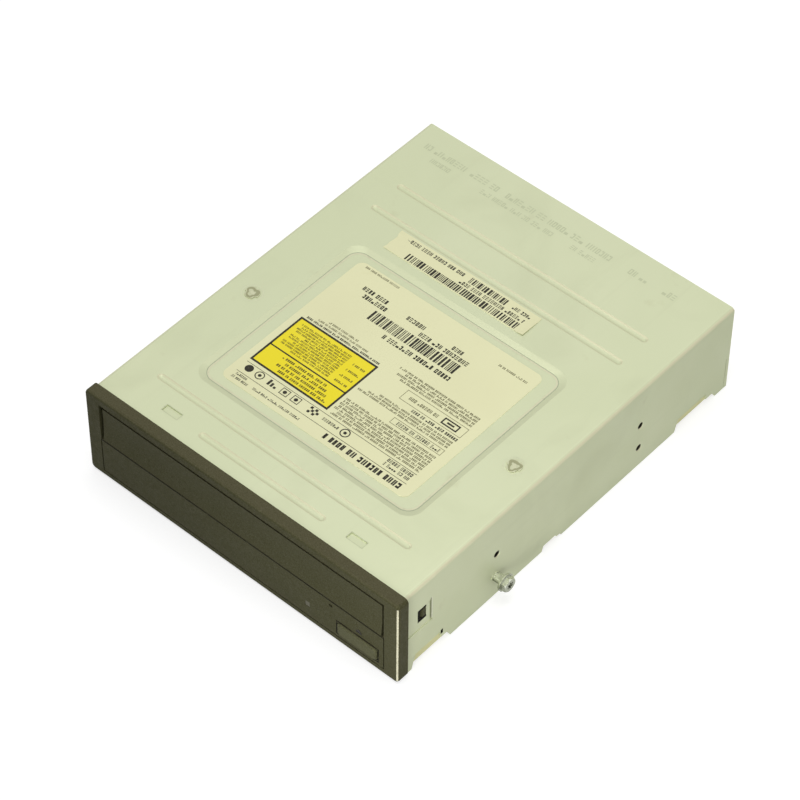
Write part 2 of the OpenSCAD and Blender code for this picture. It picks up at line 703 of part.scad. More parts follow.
// Sliding tray with recesses for both disc sizes
tab_r = 3;
tab_out = 61.6;
module disc_tray() placed() color(black) difference() {
    union() {
        block([-tray_half, door_t, tray_z], [tray_half, tray_back, rim_z]);
        both_sides() block([tray_half - little, door_t + 9, tray_z + rail_size[2]],
            [rail_half, tray_back, tray_z + rail_size[2] + rail_size[1]]);
        block([-tray_half, door_t, tray_z], [tray_half, door_t + 1.8, tray_z + door_wall_h]);
        rack();
        pin_groove();
    }
    difference() {
        post([0, spindle_y], seat_floor, rim_z + 1, large_d);
        for (a = [45:90:315]) post([tab_out * cos(a), spindle_y + tab_out * sin(a)], rim_z - 1.1,
            rim_z + 2, 2 * tab_r);
    }
    post([0, spindle_y], seat_floor - small_step, rim_z + 1, small_d);
    block([-slot_w / 2, spindle_y, tray_z - 3], [slot_w / 2, slot_end, rim_z + 1]);
    post([0, spindle_y], tray_z - 3, rim_z + 1, slot_w);
    block([-low_w / 2, spindle_y + 40, seat_floor], [low_w / 2, tray_back + 1, rim_z + 1]);
    difference() {
        block([-tray_half + tray_wall, door_t + 1.8, tray_z - little],
            [tray_half - tray_wall, tray_back - tray_wall, rim_z - tray_wall]);
        post([0, spindle_y], tray_z - 1, rim_z, large_d + 2 * tray_wall);
        block([-low_w / 2 - tray_wall, spindle_y, tray_z - 1], [low_w / 2 + tray_wall, tray_back, rim_z]);
        block([rack_x - 6, door_t, tray_z - 1], [rack_x + 1, tray_back, tray_z + tray_wall]);
        block([guide_pin_x - 4, slider_y - 6, tray_z - 1], [groove_end + 4, tray_back, tray_z + tray_wall]);
    }
}

// Eject button: cap, catch flange and plunger
switch_y = 8.1;
module eject_button() placed() color(bezel_colour) {
    hull() for (step = [[0, 0.5], [0.5, 0]]) along_y(step[0] - button_out, wall)
        translate(button_at) round_rect(button_size[0] - 2 * step[1], button_size[1] - 2 * step[1],
            button_r, $fn = 32);
    along_y(wall + gap - little, wall + gap + 1) translate(button_at) square([button_size[0] + 3,
        button_size[1]], center = true);
    along_y(wall - little, wall + gap) translate(button_at)
        square([button_size[0] - 2 * button_r, button_size[1] - 1], center = true);
    along_y(wall + gap, switch_y - button_travel - gap) translate(button_at) square([3.5, 3],
        center = true);
}

// Clear block that carries the lamp's light to the front
lens_fit = 0.1;
module indicator_lens() placed() color("#9DB39A") {
    along_y(0.1, wall + 1) translate(lamp_at) square([lamp_size[0] - 2 * lens_fit,
        lamp_size[1] - 2 * lens_fit], center = true);
    along_y(wall + little, wall + 1) translate(lamp_at) square([lamp_size[0] + 2, lamp_size[1] + 2],
        center = true);
}

// Paper labels
module main_label() placed() color(cream) sheet_patch(label_edges, 3, case_h - recess_deep, paper);
module small_label() placed() color(cream) sheet_patch(strip_edges, 0.6, case_h, paper);

// Hexagon screw with a shoulder, in the front lower hole of the right side
grip = 4;
module side_screw() placed() color("#B9B9A0") translate([half_w, hole_rows[0], hole_heights[0]])
    rotate([0, 90, 0]) {
    translate([0, 0, -sheet - grip]) cylinder(d = thread_d - 0.1, h = sheet + grip + little);
    cylinder(d = shoulder_d, h = shoulder_l + little);
    translate([0, 0, shoulder_l]) cylinder(d1 = flange_d - 0.4, d2 = flange_d, h = flange_t / 2);
    translate([0, 0, shoulder_l + flange_t / 2]) cylinder(d = flange_d, h = flange_t / 2);
    difference() {
        intersection() {
            translate([0, 0, shoulder_l + flange_t - little]) cylinder(d = hex_w / cos(30),
                h = hex_h + little, $fn = 6);
            translate([0, 0, shoulder_l + flange_t - little])
                cylinder(d1 = hex_w / cos(30) + hex_h, d2 = hex_w + 0.1, h = hex_h + little);
        }
        for (a = [0, 60, 120]) rotate([0, 0, a]) translate([-1.5, -0.4, shoulder_l + flange_t + 0.9])
            cube([3, 0.8, hex_h]);
    }
}

// Pan-head screws standing on a face, pointing down or up
module screw(z, head_d, head_h, thread, length, up) {
    translate([0, 0, z]) mirror([0, 0, up ? 1 : 0]) difference() {
        union() {
            cylinder(d1 = head_d, d2 = head_d - 0.8, h = head_h);
            translate([0, 0, -length]) cylinder(d = thread, h = length + little);
        }
        for (a = [0, 90]) rotate([0, 0, a]) translate([-head_d / 3, -0.3, head_h / 2])
            cube([head_d / 1.5, 0.6, head_h]);
    }
}
boss_bore = 2.6;
module bottom_screws() placed() color("#B9B9A0") both_sides() for (at = boss_at)
    translate([at[0], at[1], 0]) screw(dimple_deep, 5.6, 1.1, boss_bore - 0.1, 7, true);

// Steel bridge that the clamper hangs from, riveted through the top
bridge_leg_x = recess_w / 2 + 2;
bridge_foot_x = stake_x + 6;
module clamper_bridge() placed() color(steel) {
    y0 = spindle_y - bridge_w / 2;
    y1 = spindle_y + bridge_w / 2;
    difference() {
        block([-bridge_leg_x, y0, bridge_z], [bridge_leg_x, y1, bridge_z + bridge_t]);
        post([0, spindle_y], bridge_z - 1, bridge_z + 2, bridge_hole_d);
    }
    for (y = [y0, y1 - bridge_t]) block([-bridge_leg_x + 4, y, bridge_z], [bridge_leg_x - 4,
        y + bridge_t, bridge_z + 3.5]);
    both_sides() {
        block([bridge_leg_x - bridge_t, y0, bridge_z], [bridge_leg_x, y1, inner_top]);
        block([bridge_leg_x - bridge_t, y0, inner_top - bridge_t], [bridge_foot_x, y1, inner_top]);
        post([stake_x, spindle_y], inner_top - little, case_h + little, stake_d - 1.2);
        difference() {
            post([stake_x, spindle_y], case_h, case_h + stake_h, stake_d);
            for (a = [90, 210, 330]) post([stake_x + stake_d / 2 * cos(a),
                spindle_y + stake_d / 2 * sin(a)],
                case_h - 1, case_h + 1, 1.4);
        }
    }
}

// Clamper: a puck below the bridge, a steel ring inside it and a cap above
clamp_lip = 2.6;
neck_d = bridge_hole_d - 1.6;
cap_z = bridge_z + bridge_t + gap;
hub_room = 3.4;
hub_play = 2.4;
module clamper_puck() placed() color(black) translate([0, spindle_y, 0]) difference() {
    union() {
        translate([0, 0, clamp_z]) cylinder(d = clamp_d, h = clamp_lip);
        translate([0, 0, clamp_z]) cylinder(d = neck_d, h = cap_z - clamp_z);
    }
    translate([0, 0, clamp_z - 1]) cylinder(d = hub_d + hub_play, h = hub_room + 1);
    translate([0, 0, clamp_z + hub_room + 0.8]) cylinder(d = neck_d - 3, h = cap_z);
}
module clamper_magnet() placed() color("#8C8C86") translate([0, spindle_y, clamp_z + hub_room + 0.8])
    difference() {
    cylinder(d = neck_d - 3.2, h = cap_z - clamp_z - hub_room - 0.8 - 0.2);
    translate([0, 0, -1]) cylinder(d = 8, h = cap_z);
}
module clamper_cap() placed() color(black) translate([0, spindle_y, cap_z]) difference() {
    union() {
        cylinder(d = clamp_d, h = 1.2);
        cylinder(d = neck_d - 4, h = 2.2);
    }
    translate([0, 0, 1.2]) cylinder(d = neck_d - 7, h = 2);
}

// Moulded loader frame: side walls with tray guides, decks, bosses, posts and bearings
side_deck_x = 58.5;
deck_back = 42.2;
ledge = [42.5, 48.3, 1.6, 2.6];
bearing = [59.2, 64.6];
side_y = [6, drive_d - 12];
deck_end = tray_back;
bar_y = [tray_back + 2, side_y[1]];
bar_z = 17;
post_lift = 0.4;
module loader_chassis() placed() color(black) difference() {
    union() {
        both_sides() {
            block([wall_in, side_y[0], rail_wall_z[0]], [wall_out, side_y[1], rail_wall_z[1]]);
            block([wall_in - rail_size[0] + 0.1, side_y[0] + 1, tray_z + rail_size[2] - gap - lip_t],
                [wall_in + little, side_y[1] - 1, tray_z + rail_size[2] - gap]);
            for (y = [8, 60, 120]) block([wall_in - rail_size[0] + 0.1, y,
                tray_z + rail_size[2] + rail_size[1] + gap],
                [wall_in + little, y + 14, tray_z + rail_size[2] + rail_size[1] + gap + lip_t]);
            block([side_deck_x, side_y[0] + 0.5, deck_z - deck_t], [wall_in + little, deck_end, deck_z]);
            for (at = boss_at) post(at, sheet + dimple_deep, deck_z, boss_d);
            block([bearing[0], hinge_at[0] - 5, sub_z - 3], [bearing[1], hinge_at[0] + 5, hinge_at[1] + 5]);
            block([bearing[1] - little, hinge_at[0] - 5, deck_z - little], [wall_in + little,
                hinge_at[0] + 5, deck_z + 2]);
            block([wall_in - 9, tray_back + gap, bar_z], [wall_in - 5, bar_y[0] + little, rim_z - 3]);
            block([wall_in - 9, tray_back + gap, bar_z], [wall_in + little, bar_y[1], bar_z + deck_t]);
        }
        block([-wall_in, side_y[0] + 0.5, deck_z - deck_t], [motor_at[0] + 11, deck_back, deck_z]);
        block([motor_at[0] + 11 - little, motor_at[1] - 6, deck_z - deck_t], [motor_at[0] + 18,
            motor_at[1] + 6, deck_z]);
        block([motor_at[0] + 11 - little, deck_back - 9, deck_z - deck_t], [wall_in, deck_back, deck_z]);
        block([-38, ledge[0], ledge[2]], [50, ledge[1], ledge[3]]);
        for (x = [-38, 46]) {
            block([x, deck_back - 1, ledge[2]], [x + 4, slider_y - gap, deck_z]);
            block([x, slider_y + slider_t + gap, ledge[2]], [x + 4, ledge[1], 8.6]);
        }
        block([-38, deck_back - little, ledge[2]], [50, slider_y - gap, deck_z - 6]);
        block([-wall_in, bar_y[0], bar_z], [wall_in, bar_y[1], bar_z + deck_t]);
        post(gear_at, deck_z - little, rack_gear_top - post_lift, post_d);
        post(pulley_at, deck_z - little, fine_z + fine_h + post_lift, post_d - 1);
    }
    both_sides() {
        for (at = boss_at) post(at, -1, deck_z - 1.2, boss_bore);
        translate([0, hinge_at[0], hinge_at[1]]) rotate([0, 90, 0])
            cylinder(d = hinge_d + 2 * running, h = bearing[1] + 1);
    }
    post(motor_at, 0, deck_z + 1, motor_d + 2 * gap);
    for (side = [-1, 1]) post([motor_at[0] + side * motor_screw_x, motor_at[1]], 0, deck_z + 1, 1.9);
}

// Loading motor with its mounting plate, and the two screws that hold it
plate_t = 0.6;
plate_half = [17, 4];
motor_screw_x = 14.4;
module loading_motor() placed() color("#A9AAA0") {
    post(motor_at, board_z, deck_z, motor_d);
    post(motor_at, board_z - 0.8, board_z + little, motor_d / 3);
    difference() {
        translate([0, 0, deck_z]) linear_extrude(plate_t) translate(motor_at)
            square(2 * plate_half, center = true);
        for (side = [-1, 1]) post([motor_at[0] + side * motor_screw_x, motor_at[1]], deck_z - 1,
            deck_z + 1, 2.2);
    }
    post(motor_at, deck_z, deck_z + plate_t, motor_d * 0.75);
    post(motor_at, deck_z, wheel_z + wheel_h, 2);
}
module motor_screws() placed() color("#B9B9A0") for (side = [-1, 1])
    translate([motor_at[0] + side * motor_screw_x, motor_at[1], 0]) screw(deck_z + plate_t, 3.8, 1, 1.8,
        plate_t + 1.6, false);

// Grooved pulley as a turned section
module pulley(root, h, bore) {
    rim = root + belt_t * 0.9;
    slot = belt_t + 0.4;
    rotate_extrude() polygon([[bore / 2, 0], [rim, 0], [rim, (h - slot) / 2 - 0.2], [root, (h - slot) / 2],
        [root, (h + slot) / 2], [rim, (h + slot) / 2 + 0.2], [rim, h], [bore / 2, h]]);
}
module motor_pulley() placed() color(white_plastic) translate([motor_at[0], motor_at[1],
    deck_z + plate_t + 0.2])
    pulley(nose_r, 2 * (belt_z - deck_z - plate_t - 0.2), 2 + 2 * 0.01);

// Belt round both pulleys
belt_gap = 0.06;
module belt_line(grow) {
    hull() {
        translate(pulley_at) circle(wheel_r + belt_gap + grow);
        translate(motor_at) circle(nose_r + belt_gap + grow);
    }
}
module drive_belt() placed() color("#1C1B18") translate([0, 0, belt_z - belt_t / 2])
    linear_extrude(belt_t) difference() {
        belt_line(belt_t);
        belt_line(0);
    }

// Involute gear outline: half the tooth's angle at a radius, then the flanks
function roll(base, r) = r > base ? sqrt(r * r / (base * base) - 1) * 180 / PI : 0;
function spread(base, r) = roll(base, r) - atan(roll(base, r) * PI / 180);
function half_angle(m, teeth, r) = let (pitch_r = m * teeth / 2, base = pitch_r * cos(press_angle))
    90 / teeth - backlash / 4 / pitch_r * 180 / PI + spread(base, pitch_r) - spread(base, r);
function ring_point(r, a) = [r * cos(a), r * sin(a)];
module gear_outline(m, teeth, first) {
    steps = 5;
    pitch_r = m * teeth / 2;
    root = pitch_r - 1.25 * m;
    tip = pitch_r + 0.95 * m;
    radii = [for (i = [0:steps]) root + (tip - root) * i / steps];
    polygon([for (k = [0:teeth - 1], side = [-1, 1], i = [0:steps])
        let (r = radii[side < 0 ? i : steps - i])
        ring_point(r, first + k * 360 / teeth + side * half_angle(m, teeth, r))]);
}

// Large pulley with the small reduction gear on top
module pulley_gear() placed() color(white_plastic) translate([pulley_at[0], pulley_at[1], wheel_z]) {
    bore = post_d - 1 + 2 * running;
    pulley(wheel_r, wheel_h, bore);
    translate([0, 0, wheel_h - little]) linear_extrude(fine_h + gap) difference() {
        gear_outline(fine_module, small_teeth, train_angle + 180 + 180 / small_teeth);
        circle(d = bore);
    }
}

// Large reduction gear with the gear that drives the rack on top
module drive_gear() placed() color(white_plastic) translate([gear_at[0], gear_at[1], 0]) difference() {
    union() {
        translate([0, 0, wheel_z]) cylinder(d = post_d + 4, h = fine_z - wheel_z + little);
        translate([0, 0, fine_z]) linear_extrude(fine_h) gear_outline(fine_module, large_teeth,
            train_angle);
        translate([0, 0, fine_z + fine_h - little]) linear_extrude(rack_gear_top - fine_z - fine_h)
            gear_outline(rack_module, rack_teeth, 180);
    }
    translate([0, 0, wheel_z - 1]) cylinder(d = post_d + 2 * running, h = tray_z);
}

// Slider with two sloping slots that lift the pickup unit, and a pin that follows the tray
slot_play = 0.45;
slider_x = [-35, guide_pin_x + 4.5];
slider_z = [ledge[3] + gap, 20.2];
module lift_slot(x) {
    rise = lift_pin_z - pin_low;
    angle = atan2(rise, -slider_travel);
    translate([x, pin_low]) {
        circle(d = cam_pin_d + 2 * slot_play);
        rotate(angle) translate([0, -cam_pin_d / 2 - slot_play])
            square([sqrt(rise * rise + slider_travel * slider_travel), cam_pin_d + 2 * slot_play]);
        translate([-slider_travel, rise]) circle(d = cam_pin_d + 2 * slot_play);
    }
}
module cam_slider() placed() color(white_plastic) {
    along_y(slider_y, slider_y + slider_t) difference() {
        translate([slider_x[0], slider_z[0]]) square([slider_x[1] - slider_x[0],
            slider_z[1] - slider_z[0]]);
        for (side = [-1, 1]) lift_slot(side * lift_pin_x);
    }
    block([guide_pin_x - 2.5, slider_mid - 1.8, slider_z[1] - 3], [guide_pin_x + 2.5, slider_mid + 1.8,
        slider_z[1]]);
    post([guide_pin_x, slider_mid], slider_z[1] - little, tray_z - 0.4, cam_pin_d);
}

// Plastic frame of the pickup unit, hinged at the back and lifted at the front
module sub_chassis() placed() lowered() color(black) difference() {
    union() {
        block([-sub_half, sub_edges[1], sub_z], [sub_half, sub_edges[2], sub_z + sub_t]);
        block([-sub_half / 2, sub_edges[1], sub_z], [sub_half / 2, sub_edges[1] + 4,
            lift_pin_z + cam_pin_d / 2]);
        both_sides() {
            translate([sub_half - 3, hinge_at[0], hinge_at[1]]) rotate([0, 90, 0])
                cylinder(d = hinge_d, h = bearing[1] - sub_half + 2.4);
            rod(lift_pin_x, lift_pin_z, slider_y - 0.2, sub_edges[1] + 1, cam_pin_d);
        }
    }
    block([-window_half, sub_edges[1] + 6, sub_z - 1], [window_half, sub_edges[2] - 6, sub_z + sub_t + 1]);
    both_sides() for (y = damper_rows) post([damper_x, y], sub_z - 1, sub_z + sub_t + 1, 1.9);
}

// Steel base plate of the pickup unit
base_y0 = sub_edges[1] + 6.5;
base_y1 = sub_edges[2] - 6.5;
well = [33, 78, sub_edges[2] - 11];
motor_bay = [lead_at[0] - feed_motor_d / 2 - gap, damper_rows[0] - 3];
module pickup_base() placed() lowered() color("#B4B5A6") difference() {
    union() {
        difference() {
            union() {
                block([-base_half, base_y0, base_z], [base_half, base_y1, base_top]);
                both_sides() {
                    for (y = damper_rows) block([base_half - 1, y - 5, base_z], [damper_x + 4.5, y + 5,
                        base_top]);
                    block([base_half - base_t, base_y0, sub_z + 0.8], [base_half, base_y1,
                        base_z + little]);
                }
            }
            block([-well[0], well[1], base_z - 1], [well[0], well[2], base_top + 1]);
            block([motor_bay[0], motor_bay[1], base_z - 1], [lead_at[0] + feed_motor_d / 2 + gap,
                well[2], base_top + 1]);
            block([lead_at[0], well[1] + 2, base_z - 1], [0, well[2], base_top + 1]);
        }
        post([0, spindle_y], base_z, base_top, 25);
    }
    post([0, spindle_y], base_z - 1, base_top + 1, core_d + 2 * little);
    both_sides() for (y = damper_rows) post([damper_x, y], base_z - 1, base_top + 1, 5);
}

// Grommets between the base plate and the sub-chassis, and the screws through them
damper_z = sub_z + sub_t;
module rubber_dampers() placed() lowered() color("#3A3A36") both_sides() for (y = damper_rows)
    translate([damper_x, y, damper_z]) difference() {
        union() {
            cylinder(d = 4.8, h = damper_h);
            cylinder(d = damper_d, h = base_z - damper_z);
            translate([0, 0, base_top - damper_z]) cylinder(d = damper_d,
                h = damper_z + damper_h - base_top);
        }
        translate([0, 0, -1]) cylinder(d = 2.2, h = damper_h + 2);
    }
module damper_screws() placed() lowered() color("#B9B9A0") both_sides() for (y = damper_rows)
    translate([damper_x, y, 0]) screw(damper_z + damper_h, 5, 1, 1.8, damper_h + sub_t - 0.4, false);

// Spindle motor: fixed stator with its shaft bearing
rotor_z = base_top + 3.1;
core_d = 8;
table_t = 2;
module spindle_motor() placed() lowered() color("#7C6A42") translate([0, spindle_y, 0]) {
    translate([0, 0, base_top]) cylinder(d = 20, h = rotor_z - base_top - gap);
    translate([0, 0, base_z - 2]) cylinder(d = core_d, h = base_t + 2 + little);
    translate([0, 0, rotor_z - gap - little]) cylinder(d = 5, h = 3);
}

// Rotor cup with the turntable and the hub that centres the disc
pad_t = 0.3;
module turntable() placed() lowered() color("#3B3B38") translate([0, spindle_y, 0]) difference() {
    union() {
        translate([0, 0, rotor_z]) cylinder(d = rotor_d, h = seat_z - table_t - rotor_z + little);
        translate([0, 0, seat_z - table_t]) cylinder(d = table_d, h = table_t - pad_t);
        translate([0, 0, seat_z - pad_t - little]) cylinder(d = hub_d, h = pad_t + hub_h / 2);
        translate([0, 0, seat_z + hub_h / 2 - 2 * little]) cylinder(d1 = hub_d, d2 = hub_d - 3,
            h = hub_h / 2);
    }
    translate([0, 0, rotor_z - 1]) cylinder(d = rotor_d - 2, h = 3.2);
    translate([0, 0, rotor_z - 1]) cylinder(d = 5 + 2 * running, h = 5);
    translate([0, 0, seat_z + hub_h - 0.8]) cylinder(d = hub_d - 6, h = 2);
}
module turntable_pad() placed() lowered() color("#20201E") translate([0, spindle_y, seat_z - pad_t])
    difference() {
    cylinder(d = table_d - 0.6, h = pad_t);
    translate([0, 0, -1]) cylinder(d = hub_d + 4, h = 2);
}

// Two guide rods and the clips that hold their ends
rod_y = [well[1] - 3, well[2] + 3];
module guide_rods() placed() lowered() color("#C9CAC4") both_sides() rod(rod_x, rod_z, rod_y[0],
    rod_y[1], rod_d);
module rod_clips() placed() lowered() color(black) difference() {
    both_sides() for (y = [rod_y[0] - 1, rod_y[1] - 2.6])
        block([rod_x - 2.4, y, base_top], [rod_x + 2.4, y + 3.6, rod_z + rod_d / 2 + 0.7]);
    both_sides() rod(rod_x, rod_z, rod_y[0], rod_y[1], rod_d + 0.02);
}

// Pickup head with its bearings, actuator housing and the hollow round the turntable
head_z = [16, 22];
head_y = [lens_y - 15, lens_y + 19];
cover_box = [17, 7.4, 13, 25];
holder_size = [14, 9];
holder_play = 0.6;
head_half = rod_x - rod_d / 2 - 1.2;
slide_l = [16, 6, 2];
slide_wall = 3;
module lens_room() block([-holder_size[0] / 2 - holder_play, lens_y - holder_size[1] / 2 - holder_play,
    head_z[0] + 3], [holder_size[0] / 2 + holder_play, lens_y + holder_size[1] / 2 + holder_play,
    cover_box[3] + 1]);
module pickup_head() placed() lowered() color("#6E6E66") difference() {
    union() {
        block([-head_half, head_y[0], head_z[0]], [head_half, head_y[1], head_z[1]]);
        block([-rod_x - slide_wall, lens_y - slide_l[1], rod_z - slide_wall],
            [-head_half + little, lens_y + slide_l[0], rod_z + 2.4]);
        block([head_half - little, lens_y - slide_l[2], rod_z - 2.9],
            [rod_x + 2.4, lens_y + slide_l[1], rod_z + 2.4]);
    }
    post([0, spindle_y], head_z[0] - 1, head_z[1] + 1, rotor_d + 2.4);
    both_sides() rod(rod_x, rod_z, head_y[0], head_y[1], rod_d + 2 * running);
    block([rod_x, head_y[0], rod_z - rod_d / 2 - running], [rod_x + 5, head_y[1],
        rod_z + rod_d / 2 + running]);
    lens_room();
}

// Pressed cover round the lens and its magnets
module head_cover() placed() lowered() color("#8C8C86") difference() {
    block([-cover_box[0], lens_y - cover_box[1], head_z[1]], [cover_box[0], lens_y + cover_box[2],
        cover_box[3]]);
    lens_room();
}

// Moving lens holder and the lens in it
holder_z = [head_z[0] + 3 + lens_travel + gap, cover_box[3] - 0.1];
module lens_holder() placed() lowered() color(black) difference() {
    block([-holder_size[0] / 2, lens_y - holder_size[1] / 2, holder_z[0]],
        [holder_size[0] / 2, lens_y + holder_size[1] / 2, holder_z[1]]);
    translate([0, lens_y, holder_z[0] - 1]) cylinder(d = lens_d - 0.8, h = holder_z[1]);
    translate([0, lens_y, holder_z[1] - 0.8]) cylinder(d = lens_d + 0.04, h = 2);
}
module objective_lens() placed() lowered() color("#9FB6C9") translate([0, lens_y, holder_z[1] - 0.8]) {
    cylinder(d = lens_d, h = 0.8);
    translate([0, 0, 0.8 - little]) intersection() {
        translate([0, 0, 0.6 - lens_d / 2 * 1.3]) sphere(lens_d / 2 * 1.3);
        cylinder(d = lens_d, h = 1);
    }
}

// Feed motor, lead screw, its bracket and the nut on the pickup head
bracket_t = 1;
feed_motor_l = 18;
bracket_y = [motor_bay[1] + feed_motor_l, well[2] - 8.8];
module feed_motor() placed() lowered() color("#A9AAA0")
    rod(lead_at[0], lead_at[1], motor_bay[1] + gap, bracket_y[0], feed_motor_d);
module lead_screw() placed() lowered() color("#C9CAC4") {
    rod(lead_at[0], lead_at[1], bracket_y[0] + gap / 2, bracket_y[1] + bracket_t, 1.6);
    rod(lead_at[0], lead_at[1], bracket_y[0] + bracket_t + gap, bracket_y[1] - gap, lead_d);
}
module feed_bracket() placed() lowered() color("#B4B5A6") difference() {
    union() {
        for (y = bracket_y) block([lead_at[0] - feed_motor_d / 2 + 0.4, y, lead_at[1] - 4],
            [lead_at[0] + feed_motor_d / 2 - 0.4, y + bracket_t, lead_at[1] + 4]);
        block([lead_at[0] - 3, bracket_y[0], lead_at[1] - 4], [lead_at[0] + 3,
            bracket_y[1] + bracket_t, lead_at[1] - 3]);
        for (y = [bracket_y[0], bracket_y[1] - 5]) block([-base_half + 0.2, y, base_top],
            [lead_at[0] - feed_motor_d / 2 + 0.4 + little, y + 6, base_top + bracket_t]);
    }
    for (y = bracket_y) rod(lead_at[0], lead_at[1], y - 1, y + 2, 1.6 + 2 * running);
}
module feed_nut() placed() lowered() color(white_plastic) difference() {
    block([lead_at[0] - 0.6, lens_y + 2, lead_at[1] + lead_d / 2 - 0.6], [-rod_x - 3, lens_y + 11,
        lead_at[1] + lead_d / 2 + 1.6]);
    rod(lead_at[0], lead_at[1], lens_y, lens_y + 20, lead_d + 2 * running);
}

// Main circuit board with its parts
main_edges = [-64, drive_d - 84, 64, drive_d - 2];
module main_board() placed() color("#3F5A33") difference() {
    block([main_edges[0], main_edges[1], board_z], [main_edges[2], main_edges[3], board_top]);
    both_sides() {
        for (at = boss_at) post(at, 0, deck_z, boss_d + 2 * gap);
        block([boss_at[1][0], boss_at[1][1] - boss_d / 2 - gap, 0], [half_w,
            boss_at[1][1] + boss_d / 2 + gap, deck_z]);
        for (at = board_screw_at) post(at, 0, deck_z, 3.2);
    }
}
// Middle of each chip, sideways and from the board's front edge, and its width and length
chip_places = [[-26, 28, 20, 20], [6, 34, 14, 14], [-30, 52, 18, 8], [30, 30, 12, 12], [28, 50, 10, 6],
    [0, 12, 26, 5], [-48, 36, 8, 10], [48, 36, 8, 6]];
chip_h = 1.2;
module board_chips() placed() color("#262622") translate([0, main_edges[1], board_top])
    for (chip = chip_places) block([chip[0] - chip[2] / 2, chip[1] - chip[3] / 2, 0],
        [chip[0] + chip[2] / 2, chip[1] + chip[3] / 2, chip_h]);
module board_screws() placed() color("#B9B9A0") both_sides() for (at = board_screw_at)
    translate([at[0], at[1], 0]) screw(board_top, 5.2, 1.2, thread_d - 0.1, board_top - 1, false);

// Open-ended connector shell on the board
module shell(x, h, y0, shell_wall) {
    difference() {
        block([x[0], y0, board_top], [x[1], back_face, board_top + h]);
        block([x[0] + shell_wall, y0 + 2, board_top + shell_wall], [x[1] - shell_wall, back_face + 1,
            board_top + h - shell_wall]);
    }
}
data_depth = 9;
key_w = 4.4;
data_columns = 20;
empty_pin = 9;
module data_connector() placed() color(black) difference() {
    shell(data_x, data_h, back_face - data_depth, 1);
    block([(data_x[0] + data_x[1] - key_w) / 2, back_face - 6, board_top + data_h - 1.5],
        [(data_x[0] + data_x[1] + key_w) / 2, back_face + 1, board_top + data_h + 1]);
    pin_grid(data_x, data_columns, 2, board_top + data_h / 2, back_face - data_depth - 1, back_face,
        pin_w + 0.02, data_columns + empty_pin);
}

// Rows of straight pins; one place may stay empty
module pin_grid(x, columns, rows, z, y0, y1, w, empty) {
    for (i = [0:columns - 1], j = [0:rows - 1]) if (i + j * columns != empty)
        translate([(x[0] + x[1]) / 2 + (i - (columns - 1) / 2) * pitch, (y0 + y1) / 2,
            z + (j - (rows - 1) / 2) * pitch])
            cube([w, y1 - y0, w], center = true);
}
// Feet that take a row of pins down to the board
module pin_feet(x, columns, z, y, empty) {
    for (i = [0:columns - 1]) if (i != empty)
        translate([(x[0] + x[1]) / 2 + (i - (columns - 1) / 2) * pitch - pin_w / 2, y, board_top])
            cube([pin_w, pin_w, z - board_top + pin_w / 2]);
}
data_pin_end = 1.6;
module data_pins() placed() color("#C8B878") {
    z = board_top + data_h / 2;
    y0 = back_face - data_depth;
    for (row = [0, 1]) {
        end = y0 - 1.4 - row * 2.5;
        empty = row == 1 ? empty_pin : data_columns;
        pin_grid(data_x, data_columns, 1, z + (row - 0.5) * pitch, end, back_face - data_pin_end,
            pin_w, empty);
        pin_feet(data_x, data_columns, z + (row - 0.5) * pitch, end - pin_w / 2, empty);
    }
}

// Power connector with two bevelled corners, and its round pins
power_depth = 15;
power_pitch = 5.08;
power_d = 2.1;
bevel = 2.6;
power_mid = (power_x[0] + power_x[1]) / 2;
module power_face(inset) {
    w = power_x[1] - power_x[0] - 2 * inset;
    h = power_h - 2 * inset;
    b = inset > 0 ? bevel : little;
    translate([power_mid, board_top + power_h / 2])
        polygon([[-w / 2, -h / 2], [w / 2, -h / 2], [w / 2, h / 2 - b], [w / 2 - b, h / 2],
            [-w / 2 + b, h / 2], [-w / 2, h / 2 - b]]);
}
module power_connector() placed() color(cream) difference() {
    along_y(back_face - power_depth, back_face) power_face(0);
    along_y(back_face - power_depth + 4, back_face + 1) power_face(1.2);
    for (i = [0:3]) rod(power_mid + (i - 1.5) * power_pitch, board_top + power_h / 2,
        back_face - power_depth - 1, back_face, power_d + 0.02);
}
module power_pins() placed() color("#D2C68E") for (i = [0:3]) {
    x = power_mid + (i - 1.5) * power_pitch;
    rod(x, board_top + power_h / 2, back_face - power_depth - 2, back_face - 3, power_d);
    block([x - 0.8, back_face - power_depth - 2.2, board_top], [x + 0.8, back_face - power_depth - 1,
        board_top + power_h / 2]);
}

// Mode jumper
jumper_depth = 6;
jumper_z = board_top + 3;
module jumper_block() placed() color(black) difference() {
    block([jumper_x[0], back_face - jumper_depth - 2, board_top], [jumper_x[1],
        back_face - jumper_depth, jumper_z + 2.8]);
    pin_grid(jumper_x, 3, 2, jumper_z, back_face - 20, back_face, pin_w + 0.02, 6);
}
module jumper_pins() placed() color("#C8B878") {
    pin_grid(jumper_x, 3, 2, jumper_z, back_face - jumper_depth - 3.4, back_face - 0.4, pin_w, 6);
    pin_feet(jumper_x, 3, jumper_z + pitch / 2, back_face - jumper_depth - 3.4 - pin_w / 2, 3);
}
module jumper_cap() placed() color("#2E3A5A") difference() {
    block([(jumper_x[0] + jumper_x[1]) / 2 - 1.2, back_face - jumper_depth + 0.2,
        jumper_z - pitch / 2 - 1.2],
        [(jumper_x[0] + jumper_x[1]) / 2 + 1.2, back_face - 0.2, jumper_z + pitch / 2 + 1.2]);
    pin_grid(jumper_x, 3, 2, jumper_z, back_face - jumper_depth - 1, back_face - 0.38, pin_w + 0.02, 6);
}

